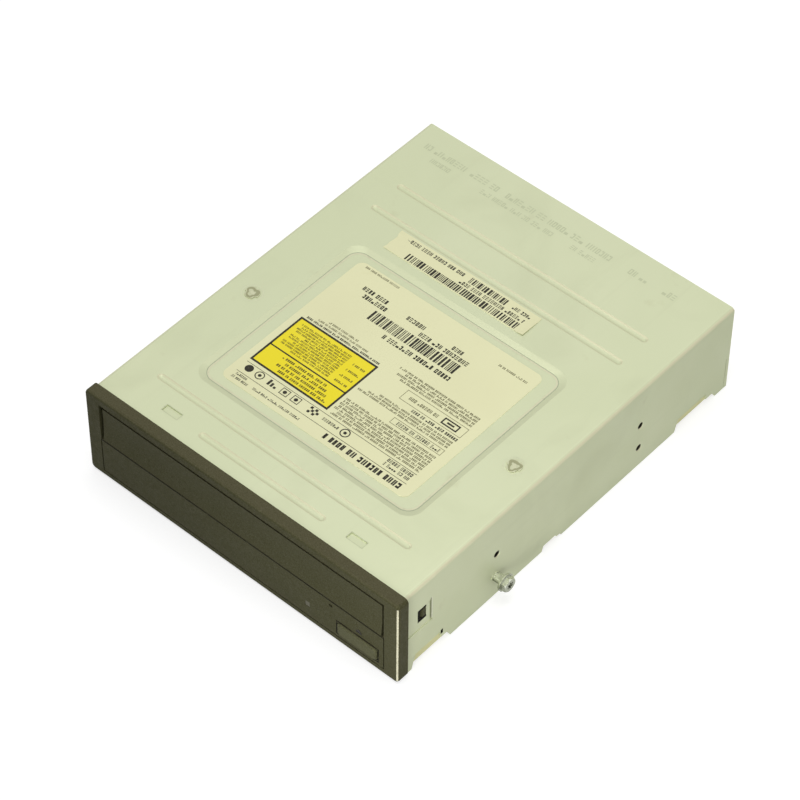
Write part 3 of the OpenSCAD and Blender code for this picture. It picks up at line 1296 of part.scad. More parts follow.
// Sound connectors
sound_depth = 9;
sound_h = 7;
module sound_connectors() placed() color(cream) difference() {
    for (x = [sound_x, digital_x]) shell(x, sound_h, back_face - sound_depth, 0.9);
    pin_grid(sound_x, 4, 1, board_top + sound_h / 2, back_face - 20, back_face, pin_w + 0.02, 4);
    pin_grid(digital_x, 2, 1, board_top + sound_h / 2, back_face - 20, back_face, pin_w + 0.02, 2);
}
module sound_pins() placed() color("#C8B878") {
    pin_grid(sound_x, 4, 1, board_top + sound_h / 2, back_face - sound_depth - 1.2, back_face - 2,
        pin_w, 4);
    pin_grid(digital_x, 2, 1, board_top + sound_h / 2, back_face - sound_depth - 1.2, back_face - 2,
        pin_w, 2);
    pin_feet(sound_x, 4, board_top + sound_h / 2, back_face - sound_depth - 1.2, 4);
    pin_feet(digital_x, 2, board_top + sound_h / 2, back_face - sound_depth - 1.2, 2);
}

// Small board at the front with the eject switch and the lamp
front_edges = [29.5, 8, 58.4, 27];
module front_board() placed() color("#3F5A33") difference() {
    block([front_edges[0], front_edges[1], board_z], [front_edges[2], front_edges[3], board_top]);
    post([45, 20], 0, deck_z, thread_d);
}
module eject_switch() placed() color(black) {
    block([button_at[0] - 3, switch_y + 0.5, board_top], [button_at[0] + 3, switch_y + 4.5,
        button_at[1] + 2.4]);
    rod(button_at[0], button_at[1], switch_y, switch_y + 0.5 + little, 2.6);
}
module indicator_lamp() placed() color("#B8D8A8") {
    block([lamp_at[0] - 1.5, wall + 1 + gap, lamp_at[1] - 1.5], [lamp_at[0] + 1.5, 10, lamp_at[1] + 1.5]);
    for (side = [-1, 1]) block([lamp_at[0] + side * 1 - 0.25, 9.3, board_top],
        [lamp_at[0] + side * 1 + 0.25, 9.8, lamp_at[1]]);
}

// Flat cable from the front board to the main board, along the bottom cover
cable_t = 0.25;
cable_x = [50, 57];
cable_z = sheet + 0.1;
module front_flat_cable() placed() color("#C9C4A6") along_x(cable_x[0], cable_x[1]) polygon([
    [front_edges[3] - 3, board_top], [front_edges[3] + 0.6, board_top], [front_edges[3] + 2.4, cable_z],
    [main_edges[1] - 2.4, cable_z], [main_edges[1] - 0.6, board_top], [main_edges[1] + 3, board_top],
    [main_edges[1] + 3, board_top + cable_t], [main_edges[1] - 0.8, board_top + cable_t],
    [main_edges[1] - 2.6, cable_z + cable_t], [front_edges[3] + 2.6, cable_z + cable_t],
    [front_edges[3] + 0.8, board_top + cable_t], [front_edges[3] - 3, board_top + cable_t]]);

top_cover();
bottom_cover();
front_bezel();
tray_door();
disc_tray();
eject_button();
indicator_lens();
main_label();
small_label();
side_screw();
bottom_screws();
clamper_bridge();
clamper_puck();
clamper_cap();
clamper_magnet();
loader_chassis();
loading_motor();
motor_screws();
motor_pulley();
drive_belt();
pulley_gear();
drive_gear();
cam_slider();
sub_chassis();
pickup_base();
rubber_dampers();
damper_screws();
spindle_motor();
turntable();
turntable_pad();
guide_rods();
rod_clips();
pickup_head();
head_cover();
lens_holder();
objective_lens();
feed_nut();
feed_motor();
lead_screw();
feed_bracket();
main_board();
board_chips();
board_screws();
data_connector();
data_pins();
power_connector();
power_pins();
jumper_block();
jumper_pins();
jumper_cap();
sound_connectors();
sound_pins();
front_board();
eject_switch();
indicator_lamp();
front_flat_cable();
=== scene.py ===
"""Looks of a half-height optical disc drive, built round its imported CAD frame.

Places and sizes on the drive are written in mm, with the depth measured from the bezel's face, and
place() turns them into the frame's metres. Materials, the stage, the lamps and the camera are in metres.
"""

import json
import math
import random

import bpy
from mathutils import Matrix, Vector


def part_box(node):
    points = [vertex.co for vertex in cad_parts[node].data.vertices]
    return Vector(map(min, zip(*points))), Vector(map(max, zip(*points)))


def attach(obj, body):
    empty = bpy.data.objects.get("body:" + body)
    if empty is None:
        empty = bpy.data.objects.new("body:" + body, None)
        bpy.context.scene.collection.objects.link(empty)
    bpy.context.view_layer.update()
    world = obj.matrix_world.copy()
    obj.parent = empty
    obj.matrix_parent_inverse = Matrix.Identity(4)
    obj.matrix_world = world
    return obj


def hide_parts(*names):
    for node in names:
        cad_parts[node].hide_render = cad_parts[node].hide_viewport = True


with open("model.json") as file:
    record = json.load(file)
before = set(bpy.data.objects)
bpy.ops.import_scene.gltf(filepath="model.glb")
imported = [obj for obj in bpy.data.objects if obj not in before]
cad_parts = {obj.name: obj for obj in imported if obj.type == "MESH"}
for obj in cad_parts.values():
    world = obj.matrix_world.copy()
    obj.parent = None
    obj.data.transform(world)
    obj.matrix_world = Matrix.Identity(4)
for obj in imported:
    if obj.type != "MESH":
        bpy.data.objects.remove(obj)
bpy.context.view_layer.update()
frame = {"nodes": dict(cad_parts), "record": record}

MM = 0.001
FACE = 92.0          # depth from the bezel's face to the frame's origin, in mm
CASE_TOP = 41.4      # height of the case's top face
HALF_W = 73.0        # half the case's width
STUD_X = 62.0        # riveted studs, to either side of the middle
STUD_TOP = CASE_TOP + 0.35
SPINDLE_Y = 73.7     # depth of the disc's centre
LIFT = 0.015         # gap between flat shapes and the face they lie on


def place(x, y, z):
    """A point given in mm, with its depth measured from the bezel's face."""
    return Vector((x * MM, (y - FACE) * MM, z * MM))


def linear(code):
    """Linear colour with alpha from a hexadecimal colour code."""
    shares = [int(code[i:i + 2], 16) / 255 for i in (1, 3, 5)]
    return [s / 12.92 if s <= 0.04045 else ((s + 0.055) / 1.055) ** 2.4 for s in shares] + [1.0]


# Materials


class Finish:
    """A procedural material: a colour that varies, a roughness that varies, and bumps."""

    def __init__(self, name, colour, rough=0.5, metal=0.0, specular=0.5):
        self.material = bpy.data.materials.new(name)
        self.material.use_nodes = True
        self.tree = self.material.node_tree
        self.shader = self.tree.nodes["Principled BSDF"]
        self.set("Base Color", linear(colour))
        self.set("Roughness", rough)
        self.set("Metallic", metal)
        self.set("Specular IOR Level", specular)
        self.coords = self.node("ShaderNodeTexCoord").outputs["Object"]
        self.colour = linear(colour)
        self.normal = None

    def set(self, socket, value):
        self.shader.inputs[socket].default_value = value

    def node(self, kind, **settings):
        made = self.tree.nodes.new(kind)
        for key, value in settings.items():
            setattr(made, key, value)
        return made

    def link(self, source, target):
        self.tree.links.new(source, target)

    def noise(self, scale, detail=3.0, stretch=(1, 1, 1), distortion=0.0):
        """Noise over the surface; scale counts features in a metre."""
        mapping = self.node("ShaderNodeMapping")
        mapping.inputs["Scale"].default_value = stretch
        self.link(self.coords, mapping.inputs["Vector"])
        noise = self.node("ShaderNodeTexNoise")
        noise.inputs["Scale"].default_value = scale
        noise.inputs["Detail"].default_value = detail
        noise.inputs["Distortion"].default_value = distortion
        self.link(mapping.outputs["Vector"], noise.inputs["Vector"])
        return noise.outputs["Fac"]

    def slope(self):
        """The upward share of the surface's normal: 1 on level faces and 0 on upright ones."""
        split = self.node("ShaderNodeSeparateXYZ")
        self.link(self.node("ShaderNodeTexCoord").outputs["Normal"], split.inputs["Vector"])
        return split.outputs["Z"]

    def ramp(self, value, low, high, start=0.0, end=1.0):
        """Runs from start to end while the value goes from low to high."""
        made = self.node("ShaderNodeMapRange")
        for socket, number in (("From Min", low), ("From Max", high), ("To Min", start), ("To Max", end)):
            made.inputs[socket].default_value = number
        self.link(value, made.inputs["Value"])
        return made.outputs["Result"]

    def mix(self, factor, code):
        """Blends another colour in where the factor is high."""
        mix = self.node("ShaderNodeMix", data_type="RGBA")
        self.link(factor, mix.inputs["Factor"])
        socket = self.shader.inputs["Base Color"]
        if socket.is_linked:
            self.link(socket.links[0].from_socket, mix.inputs["A"])
        else:
            mix.inputs["A"].default_value = self.colour
        mix.inputs["B"].default_value = linear(code)
        self.link(mix.outputs["Result"], socket)
        return self

    def patches(self, code, most, scale, start, full, detail=3.0, **noise):
        """Blends a colour in over patches, from the noise level where they start to where they are full."""
        return self.mix(self.ramp(self.noise(scale, detail, **noise), start, full, 0, most), code)

    def sloping(self, code, most, rise, fall):
        """Blends a colour in where the slope lies between a pair of rising and a pair of falling levels."""
        both = self.node("ShaderNodeMath", operation="MULTIPLY")
        slope = self.slope()
        self.link(self.ramp(slope, *rise, 0, most), both.inputs[0])
        self.link(self.ramp(slope, *fall, 1, 0), both.inputs[1])
        return self.mix(both.outputs["Value"], code)

    def rough(self, scale, detail, low, high):
        """Lets the roughness wander between two values."""
        wander = self.ramp(self.noise(scale, detail), 0.3, 0.7, low, high)
        self.link(wander, self.shader.inputs["Roughness"])
        return self

    def bump(self, scale, detail, height, strength):
        """Adds bumps of a height in metres."""
        made = self.node("ShaderNodeBump")
        made.inputs["Strength"].default_value = strength
        made.inputs["Distance"].default_value = height
        self.link(self.noise(scale, detail), made.inputs["Height"])
        if self.normal is not None:
            self.link(self.normal, made.inputs["Normal"])
        self.normal = made.outputs["Normal"]
        self.link(self.normal, self.shader.inputs["Normal"])
        return self


def sheet_steel(name, colour, dark, light, dirt):
    """Zinc coated sheet with cloudy patches, fine drawing lines, stains, a painted cream highlight on steep
    edges and painted shade on gentle slopes.
    """
    f = Finish(name, colour, rough=0.5, metal=0.2)
    f.patches(light, 0.4, scale=16, start=0.42, full=0.72, detail=4, distortion=0.6)
    f.patches(dark, 0.35, scale=24, start=0.52, full=0.75, detail=5, distortion=1.2)
    f.patches(dark, 0.2, scale=300, start=0.6, full=0.8, detail=3, stretch=(1, 0.04, 1))
    f.patches(dirt, 0.35, scale=70, start=0.68, full=0.8, detail=6)
    # painted highlight: cream on steeply sloping faces such as folds and bead flanks
    f.sloping("#D3CBAC", 0.6, rise=(0.2, 0.45), fall=(0.8, 0.97))
    # painted shade: darker on gentle slopes such as the recess's flanks
    f.sloping("#B4BA97", 0.22, rise=(0.88, 0.93), fall=(0.96, 0.985))
    f.rough(60, 4, 0.46, 0.58)
    f.bump(1800, 2, 0.00002, 0.35)
    return f.bump(26, 2, 0.0003, 0.1)


def bore_shade_and_grease(finish):
    """Darkens the walls of the side holes with painted shade, and with grease in their thread."""
    hole_y = 0.0396                         # holes lie this far before and behind the origin
    middle_z, half_z = 0.015885, 0.005955   # middle height of the two rows, and half their distance
    reach, fade = 0.00135, 0.0001           # radius that turns dark, and the width of its soft edge
    split = finish.node("ShaderNodeSeparateXYZ")
    finish.link(finish.coords, split.inputs["Vector"])

    def less(value, amount):
        made = finish.node("ShaderNodeMath", operation="SUBTRACT")
        finish.link(value, made.inputs[0])
        made.inputs[1].default_value = amount
        return made.outputs["Value"]

    def away(value, amount):
        """How far the absolute value lies from an amount."""
        size = finish.node("ShaderNodeMath", operation="ABSOLUTE")
        finish.link(value, size.inputs[0])
        return less(size.outputs["Value"], amount)

    join = finish.node("ShaderNodeCombineXYZ")
    finish.link(away(split.outputs["Y"], hole_y), join.inputs["X"])
    finish.link(away(less(split.outputs["Z"], middle_z), half_z), join.inputs["Y"])
    length = finish.node("ShaderNodeVectorMath", operation="LENGTH")
    finish.link(join.outputs["Vector"], length.inputs[0])
    # painted shade and grease on the bore walls
    return finish.mix(finish.ramp(length.outputs["Value"], reach, reach + fade, 1, 0), "#1D1A0C")


def moulded(name, colour, worn, rough=0.5):
    f = Finish(name, colour, rough=rough, specular=0.3)
    f.patches(worn, 0.5, scale=40, start=0.45, full=0.8, detail=4)
    f.patches(worn, 0.3, scale=1400, start=0.55, full=0.8, detail=2)
    f.rough(90, 3, rough - 0.06, rough + 0.08)
    return f.bump(2600, 2, 0.00006, 0.6)


def spark_textured(name, colour, grain, worn):
    """Moulded plastic with the fine pitted texture of a spark-eroded mould, and painted light on its upward
    faces.
    """
    f = Finish(name, colour, rough=0.5, specular=0.045)
    f.set("Specular Tint", linear("#E6E4A0"))
    f.patches(worn, 0.45, scale=34, start=0.4, full=0.75)
    # painted light: upward faces lighter, by the normal's tilt
    f.mix(f.ramp(f.slope(), 0.8, 0.98, 0, 0.5), "#5D5845")
    f.patches(grain, 0.34, scale=2100, start=0.5, full=0.72, detail=1.5)
    f.patches("#26240F", 0.3, scale=2300, start=0.5, full=0.68, detail=1.5, stretch=(1.1, 0.9, 1))
    f.rough(700, 2, 0.42, 0.6)
    return f.bump(1700, 2, 0.00006, 0.7)


def metal_with_painted_light(name, low, high, rough):
    """Bare metal with painted light on its upward faces and painted shade on its downward ones."""
    f = Finish(name, low, rough=rough, metal=0.85)
    # painted light and shade: lighter the more the face looks upward
    f.mix(f.ramp(f.slope(), -0.3, 0.6, 0, 0.95), high)
    f.patches(low, 0.35, scale=900, start=0.5, full=0.75)
    f.rough(500, 3, rough, rough + 0.15)
    return f.bump(1500, 2, 0.00002, 0.3)


def plain_metal(name, colour, dark, rough=0.32, metal=0.85):
    f = Finish(name, colour, rough=rough, metal=metal)
    f.patches(dark, 0.6, scale=220, start=0.5, full=0.75, detail=4)
    f.rough(400, 3, rough - 0.06, rough + 0.1)
    return f.bump(1500, 3, 0.00003, 0.4)


def paper(name, colour, shade, stain):
    f = Finish(name, colour, rough=0.62, specular=0.3)
    f.patches(shade, 0.5, scale=30, start=0.4, full=0.75)
    f.patches(stain, 0.35, scale=55, start=0.66, full=0.8, detail=6, distortion=1.0)
    f.bump(900, 3, 0.00003, 0.25)
    return f.bump(45, 2, 0.0002, 0.15)


def soft(name, colour, other, rough):
    """Smooth plastic or rubber."""
    f = Finish(name, colour, rough=rough, specular=0.35)
    f.patches(other, 0.5, scale=160, start=0.45, full=0.75)
    f.rough(250, 3, rough - 0.05, rough + 0.08)
    return f.bump(1200, 2, 0.00004, 0.4)


def circuit(name):
    """Board with thin tracks both ways under its green coat."""
    f = Finish(name, "#3F5A33", rough=0.35)
    f.patches("#557544", 0.6, scale=420, start=0.54, full=0.57, detail=2, stretch=(1, 0.1, 1))
    f.patches("#4C6B3C", 0.5, scale=380, start=0.56, full=0.59, detail=2, stretch=(0.1, 1, 1))
    return f.bump(900, 2, 0.00003, 0.3)


def clear(name, colour):
    f = Finish(name, colour, rough=0.12, specular=0.4)
    f.set("Coat Weight", 0.3)
    f.patches("#C7D6D2", 0.4, scale=200, start=0.4, full=0.8, detail=2)
    return f.bump(500, 2, 0.00002, 0.2)


def ink(name, colour, specular=0.3):
    """Flat ink, the tone of a pressed line, and lines of painted shade and highlight, each as a plain
    Blender material.
    """
    f = Finish(name, colour, rough=0.55, specular=specular)
    f.patches("#8A8766", 0.3, scale=700, start=0.55, full=0.85)
    return f.material


def yellow_print(name):
    f = Finish(name, "#EEDD22", rough=0.5, specular=0.35)
    f.patches("#F3E858", 0.4, scale=60, start=0.45, full=0.8)
    return f.bump(900, 2, 0.00002, 0.2)


MATERIALS = {
    "case_steel": bore_shade_and_grease(sheet_steel("case_steel", "#CCD2AD", "#BEC39F", "#D5D9B7", "#AFAC84")),
    "bridge_steel": sheet_steel("bridge_steel", "#C3C6A2", "#A6A982", "#CFD1B0", "#9E9C74"),
    "inner_steel": sheet_steel("inner_steel", "#DCDAA2", "#C8C48C", "#E3E1B2", "#ABA674"),
    "bezel_plastic": spark_textured("bezel_plastic", "#484730", "#676654", "#4F4E37"),
    "button_plastic": spark_textured("button_plastic", "#585840", "#6F6F56", "#5F5F47"),
    "black_plastic": moulded("black_plastic", "#24221C", "#37342B"),
    "label_paper": paper("label_paper", "#E5E4B9", "#DDDBB0", "#C9C490"),
    "zinc": plain_metal("zinc", "#B9B9A0", "#8A8B76"),
    "screw_zinc": metal_with_painted_light("screw_zinc", "#5E644A", "#E6E9DA", 0.17),
    "plain_steel": plain_metal("plain_steel", "#B4B5A6", "#94958A"),
    "ground_steel": plain_metal("ground_steel", "#C9CAC4", "#A5A6A0", rough=0.18),
    "white_plastic": soft("white_plastic", "#D9D6C8", "#CBC7B4", 0.4),
    "belt_rubber": soft("belt_rubber", "#1C1B18", "#2C2A26", 0.75),
    "damper_rubber": soft("damper_rubber", "#3A3A36", "#4A4944", 0.8),
    "motor_steel": plain_metal("motor_steel", "#A9AAA0", "#85867C"),
    "copper_windings": plain_metal("copper_windings", "#8A6A3A", "#6B4E26", rough=0.3),
    "rotor": plain_metal("rotor", "#3B3B38", "#2C2C2A", rough=0.35),
    "head_metal": plain_metal("head_metal", "#6E6E66", "#57574F", rough=0.4, metal=0.7),
    "lens": clear("lens", "#8FA8C4"),
    "light_guide": soft("light_guide", "#504E38", "#605E46", 0.45),
    "lamp": clear("lamp", "#B8D8A8"),
    "board": circuit("board"),
    "chips": moulded("chips", "#262622", "#33332E", rough=0.45),
    "contacts": plain_metal("contacts", "#C8B878", "#A8955A", rough=0.25),
    "white_connector": soft("white_connector", "#E4E2B8", "#D8D5A6", 0.45),
    "jumper": soft("jumper", "#2E3A5A", "#3B486B", 0.4),
    "cable": soft("cable", "#C9C4A6", "#B9B390", 0.5),
    "magnet": plain_metal("magnet", "#8C8C86", "#75756F", rough=0.4),
}
INK = ink("print_ink", "#1E1B0D")
GREY_INK = ink("grey_ink", "#6D694A")
PANEL_INK = ink("panel_ink", "#5C5216")
# tone of the pressed signs, and painted shade round the pockets
LEGEND_AND_POCKET_SHADE = ink("pressed_legend", "#BFC5A2")
# painted shadow beside a pressed line
CREASE_SHADE = ink("crease_shadow", "#8B8F6C")
# painted highlight beside a pressed line
CREASE_HIGHLIGHT = ink("crease_highlight", "#E0E2C8")
# painted shadow for gaps, grooves and holes
GAP_SHADOW = ink("gap_shadow", "#0E0D06", 0.03)
# painted shade at the foot of the recess's slope
RECESS_SHADE = ink("recess_shade", "#A7B091")
# painted highlight beside the recess's foot
RECESS_HIGHLIGHT = ink("recess_highlight", "#D6D5B4")
# painted shade on the studs' rims
STUD_RIM_SHADE = ink("stud_rim_shade", "#9FA07B")
# painted highlight on the studs' crowns
STUD_CROWN_HIGHLIGHT = ink("stud_crown_highlight", "#CFD0AE")
STUD_DENT = ink("stud_dent", "#D2D6B4")
# painted highlight along the bezel's right front edge
EDGE_HIGHLIGHT = plain_metal("edge_highlight", "#DAD6B8", "#B5B193", rough=0.22, metal=0.6).material
YELLOW = yellow_print("yellow_print").material


def dress(obj, material):
    obj.data.materials.clear()
    obj.data.materials.append(material)


# Nodes that look unlike the rest of their slot
SPECIAL = {"bottom_cover": "inner_steel", "clamper_bridge": "bridge_steel", "side_screw": "screw_zinc",
           "eject_button": "button_plastic"}
for part in frame["record"]["subparts"]:
    name = SPECIAL.get(part["node"], part["material_slot"])
    dress(frame["nodes"][part["node"]], MATERIALS[name].material)


# New pieces


def mesh_piece(name, verts, faces, material, body):
    data = bpy.data.meshes.new(name)
    data.from_pydata(verts, [], faces)
    data.update()
    obj = bpy.data.objects.new(name, data)
    bpy.context.scene.collection.objects.link(obj)
    dress(obj, material)
    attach(obj, body)
    return obj


def level(z):
    """Points of a level plane, from x and depth."""
    return lambda x, y: place(x, y, z)


def upright(y):
    """Points of a plane that faces the front, from x and height."""
    return lambda x, z: place(x, y, z)


def sideways(x):
    """Points of a plane that faces the right, from depth and height."""
    return lambda y, z: place(x, y, z)


UPRIGHTS, OPEN_BOX, DASHES, DOTTED, SOLID = range(5)
SIGNS = (UPRIGHTS, UPRIGHTS, OPEN_BOX, OPEN_BOX, DASHES, DASHES, DOTTED, SOLID)


def turns(steps):
    """Angles of a full turn in equal steps."""
    return [2 * math.pi * i / steps for i in range(steps)]


class Print:
    """Flat shapes on a plane, gathered into one mesh."""

    def __init__(self, spot):
        self.spot = spot
        self.verts = []
        self.faces = []

    def shape(self, points):
        first = len(self.verts)
        self.verts += [self.spot(x, y) for x, y in points]
        self.faces.append(list(range(first, first + len(points))))

    def bar(self, x0, y0, x1, y1):
        self.shape([(x0, y0), (x1, y0), (x1, y1), (x0, y1)])

    def frame(self, x0, y0, x1, y1, line):
        self.bar(x0, y0, x1, y0 + line)
        self.bar(x0, y1 - line, x1, y1)
        self.bar(x0, y0 + line, x0 + line, y1 - line)
        self.bar(x1 - line, y0 + line, x1, y1 - line)

    def ribbon(self, outer, inner):
        """Closed strip between two outlines with the same number of points."""
        for i in range(len(outer)):
            j = (i + 1) % len(outer)
            self.shape([outer[i], outer[j], inner[j], inner[i]])

    def band(self, x, y, outer, inner, steps=36):
        """Ring whose two edges follow radius functions of the angle."""
        self.ribbon(*[[(x + r(a) * math.cos(a), y + r(a) * math.sin(a)) for a in turns(steps)]
                      for r in (outer, inner)])

    def blob(self, x, y, radius, steps=28):
        self.shape([(x + radius(a) * math.cos(a), y + radius(a) * math.sin(a)) for a in turns(steps)])

    def dot(self, x, y, radius):
        self.blob(x, y, lambda a: radius)

    def circle(self, x, y, outer, inner):
        self.band(x, y, lambda a: outer, lambda a: inner)

    def glyph(self, x, y, wide, height, stroke, kind):
        """One abstract sign."""
        left, right, top = x - wide, x, y + height
        if kind in (UPRIGHTS, DOTTED):
            self.bar(right - stroke, y, right, top)
        if kind == UPRIGHTS:
            self.bar(left, y, left + stroke, top)
        if kind == OPEN_BOX:
            self.frame(left, y, right, top, stroke)
        if kind == DASHES:
            for share in (0, 0.5, 1):
                low = y + share * (height - stroke)
                self.bar(left, low, right, low + stroke)
        if kind == DOTTED:
            dot = 1.5 * stroke
            self.bar(left, y, left + dot, y + dot)
            self.bar(left, top - dot, left + dot, top)
        if kind == SOLID:
            self.bar(left, y, right, y + 0.45 * height)

    def words(self, x0, x1, y, height, dice, weight=0.2):
        """A row of abstract signs grouped like words, which starts at its right end."""
        gap, space, stroke = height * 0.2, height * 0.45, height * weight
        x = x1
        while True:
            for _ in range(dice.randint(2, 8)):
                wide = height * dice.uniform(0.42, 0.6)
                if x - wide < x0:
                    return
                self.glyph(x, y, wide, height, stroke, dice.choice(SIGNS))
                x -= wide + gap
            x -= space

    def paragraph(self, x0, x1, y, pitch, rows, height, dice, ragged=0, step=0):
        """Rows of signs whose left ends are ragged, or move in by a step."""
        for i in range(rows):
            left = x0 + (dice.uniform(0, ragged) if ragged else step * i)
            self.words(left, x1, y + pitch * i, height, dice, BOLD)

    def barcode(self, x0, x1, y0, y1, dice, module=0.32):
        """Upright bars of random width; the module is the thinnest bar."""
        x = x0
        while x < x1 - 3 * module:
            bar = module * dice.choice((1, 1, 2, 3))
            self.bar(x, y0, x + bar, y1)
            x += bar + module * dice.choice((1, 1, 2))

    def make(self, name, material, slot="label_paper", body="case"):
        """Turns the gathered shapes into a piece."""
        return mesh_piece(name, self.verts, self.faces, material, body)


LABEL_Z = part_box("main_label")[1].z / MM
STRIP_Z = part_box("small_label")[1].z / MM
BOLD, MEDIUM, LIGHT, THIN = 0.24, 0.22, 0.2, 0.16   # strokes of the signs, as shares of their height
HAIRLINE = 0.2


def print_main_label():
    """Print of the large label, from its front edge to its back edge."""
    dice = random.Random(7)
    dark = Print(level(LABEL_Z + LIFT))
    pale = Print(level(LABEL_Z + LIFT))
    left, right = -41.0, 39.2
    inner = right - 0.4
    fine, small = 0.95, 0.9

    # Title and the lines beside it
    dark.words(1.4, 38.4, 39.6, 2.6, dice, BOLD)
    for x0, x1, y in ((-31, -8.5, 39.9), (left, -33, 39.6), (left, -35, 41.4)):
        dark.words(x0, x1, y, 1.05, dice, LIGHT)

    # Row of badges between two rules
    for y in (43.1, 48.6):
        dark.bar(left, y, right, y + HAIRLINE)
    for y in (44.5, 46.6):
        dark.words(26, 38.4, y, 1.5, dice, LIGHT)
    print_badges(dark, dice)

    # Column of paragraphs and boxes right of the yellow panel
    pale.paragraph(-3.5, inner, 49.9, 1.4, 7, fine, dice, ragged=3)
    pale.frame(15.8, 60.6, right, 63.6, HAIRLINE)
    dark.words(18, 37.8, 61.3, 1.5, dice, LIGHT)
    pale.paragraph(-3.5, inner, 64.7, 1.35, 3, small, dice, step=4)
    dark.words(17, right, 69.2, 1.3, dice, BOLD)
    pale.frame(10.9, 71.3, right, 76.5, HAIRLINE)
    dark.frame(29.2, 72.3, 36.4, 75.5, 0.6)
    dark.bar(31.2, 73.5, 34.4, 74.3)
    pale.words(13, 27, 73.1, 1.5, dice)
    pale.paragraph(-0.3, inner, 77.7, 1.45, 4, fine, dice, ragged=6)

    # Bar code with the rows round it
    dark.words(-13.5, 18.4, 88.7, 2.1, dice, MEDIUM)
    dark.barcode(-23.3, 18.8, 92.3, 97.4, dice)
    for x0, x1, y, height, weight in (
            (-5, 18.8, 98.3, 2.0, LIGHT), (8, 14, 101.2, 1.9, LIGHT), (-13.5, -4.2, 101.4, 2.0, LIGHT),
            (-33.5, -20.6, 99.0, 2.0, MEDIUM), (-35.5, -22.6, 102.0, 2.0, MEDIUM)):
        dark.words(x0, x1, y, height, dice, weight)

    # Fine print behind the yellow panel and along the back edge
    dark.words(-40, -5, 78.2, fine, dice, 0.26)
    for x0, x1, y, height in ((-36, -12, 79.9, small), (-32, -18, 81.5, small), (27, 40, 106.3, fine),
                              (left, -24.5, 110.9, fine)):
        pale.words(x0, x1, y, height, dice)
    dark.make("main_print", INK)
    pale.make("fine_print", GREY_INK)


def print_badges(dark, dice):
    """Row of plain badges: dots, rings, bars, squares and a checked block."""
    y = 46.5
    dark.dot(-38, y, 1.7)
    dark.circle(-32.9, y, 1.9, 1.5)
    dark.dot(-32.9, y, 0.7)
    for i in range(3):
        x = -28.6 + 1.5 * i
        dark.bar(x, y - 1.4, x + 1.0, y + 1.4 - 0.9 * i)
    for x in (-20.8, -15.5):
        dark.frame(x - 1.8, y - 1.6, x + 1.8, y + 1.6, 0.3)
        dark.dot(x, y, 0.8)
    check = 1.1
    for i in range(4):
        for j in range(3):
            if (i + j) % 2 == 0:
                x0, y0 = -9.3 + check * i, y - 1.6 + check * j
                dark.bar(x0, y0, x0 + check, y0 + check)
    dark.words(-3.5, 4.6, y - 0.7, 1.3, dice, LIGHT)
    dark.circle(7.8, y, 2.0, 1.55)
    dark.bar(7.2, y - 0.6, 8.4, y + 0.6)


def print_yellow_panel():
    """Yellow panel of the large label with its border and rows of signs."""
    dice = random.Random(11)
    x0, y0, x1, y1 = -40.7, 50.7, -4.7, 77.0
    ground = Print(level(LABEL_Z + LIFT))
    ground.bar(x0, y0, x1, y1)
    ground.make("yellow_panel", YELLOW)

    outside, line = 0.5, 0.85
    border = Print(level(LABEL_Z + 2 * LIFT))
    border.frame(x0 - outside, y0 - outside, x1 + outside, y1 + outside, line)
    border.bar(x0, 60.1, x1, 60.7)
    border.make("panel_border", INK)

    marks = Print(level(LABEL_Z + 2 * LIFT))
    for i in range(4):
        marks.words(-30.4 - 2.4 * (i % 2), -7.2 - 1.6 * i, 51.9 + 2.0 * i, 1.15, dice, 0.26)
    for y in (62.4, 65.4, 68.6, 72.0):
        marks.words(-12.2, -6.4, y, 0.95, dice, BOLD)
    for i in range(11):
        indent = dice.uniform(0, 6) * (i % 3 == 0)
        marks.words(-38.6 + indent, -14.6, 61.9 + 1.24 * i, 0.8, dice, MEDIUM)
    marks.make("panel_marks", PANEL_INK)


def print_strip():
    """Print of the small label."""
    dice = random.Random(5)
    dark = Print(level(STRIP_Z + LIFT))
    dark.barcode(-32.6, 23.2, 123.1, 126.5, dice, 0.34)
    dark.barcode(-7.4, 10.4, 129.6, 132.6, dice, 0.32)
    for x0, x1, y, height in ((-11.6, 22, 127.2, 1.7), (12.6, 23.4, 130.2, 1.6), (-39, -10.6, 130.6, 1.7)):
        dark.words(x0, x1, y, height, dice, LIGHT)
    dark.make("strip_print", INK)


def pressed_legend():
    """Two faint rows of pressed signs near the back edge of the top."""
    dice = random.Random(23)
    legend = Print(level(CASE_TOP + LIFT))
    for x0, x1 in ((-66, -46), (-43.5, -30), (-28, 4), (5, 24), (32, 41), (47, 54)):
        legend.words(x0, x1, 172.0, 2.8, dice, THIN)
    for x0, x1 in ((-60, -50), (-36, 0), (8, 20)):
        legend.words(x0, x1, 167.6, 2.2, dice, THIN)
    legend.make("pressed_legend", LEGEND_AND_POCKET_SHADE, "case_steel")


def stud_marks():
    """Paler rings round the riveted studs, each stud's rim in painted shade that is wider on one side, and
    a paler crown of painted highlight.
    """
    rest, rim, crown = [Print(level(z + LIFT)) for z in (CASE_TOP, STUD_TOP, STUD_TOP + LIFT)]
    for side, turn in ((-1, 0.6), (1, 2.2)):
        x = side * STUD_X

        def edge(a):
            """Three-lobed outline of a peened stud."""
            return 2.5 + 0.42 * math.cos(3 * (a - math.pi / 6)) + 0.12 * math.cos(6 * a + turn)

        rest.circle(x, SPINDLE_Y, 4.2, 3.8)
        # painted shade round the stud's rim, wider on one side
        rim.band(x, SPINDLE_Y, edge, lambda a: edge(a) - 1.1 - 0.35 * math.cos(a - turn))
        # painted highlight on the crown, set off the middle
        crown.blob(x + 0.2, SPINDLE_Y - 0.1, lambda a: 0.9 + 0.25 * math.cos(2 * a + turn))
    rest.make("stud_dents", STUD_DENT, "case_steel")
    rim.make("stud_rim_shades", STUD_RIM_SHADE, "case_steel")
    crown.make("stud_crown_highlights", STUD_CROWN_HIGHLIGHT, "case_steel")


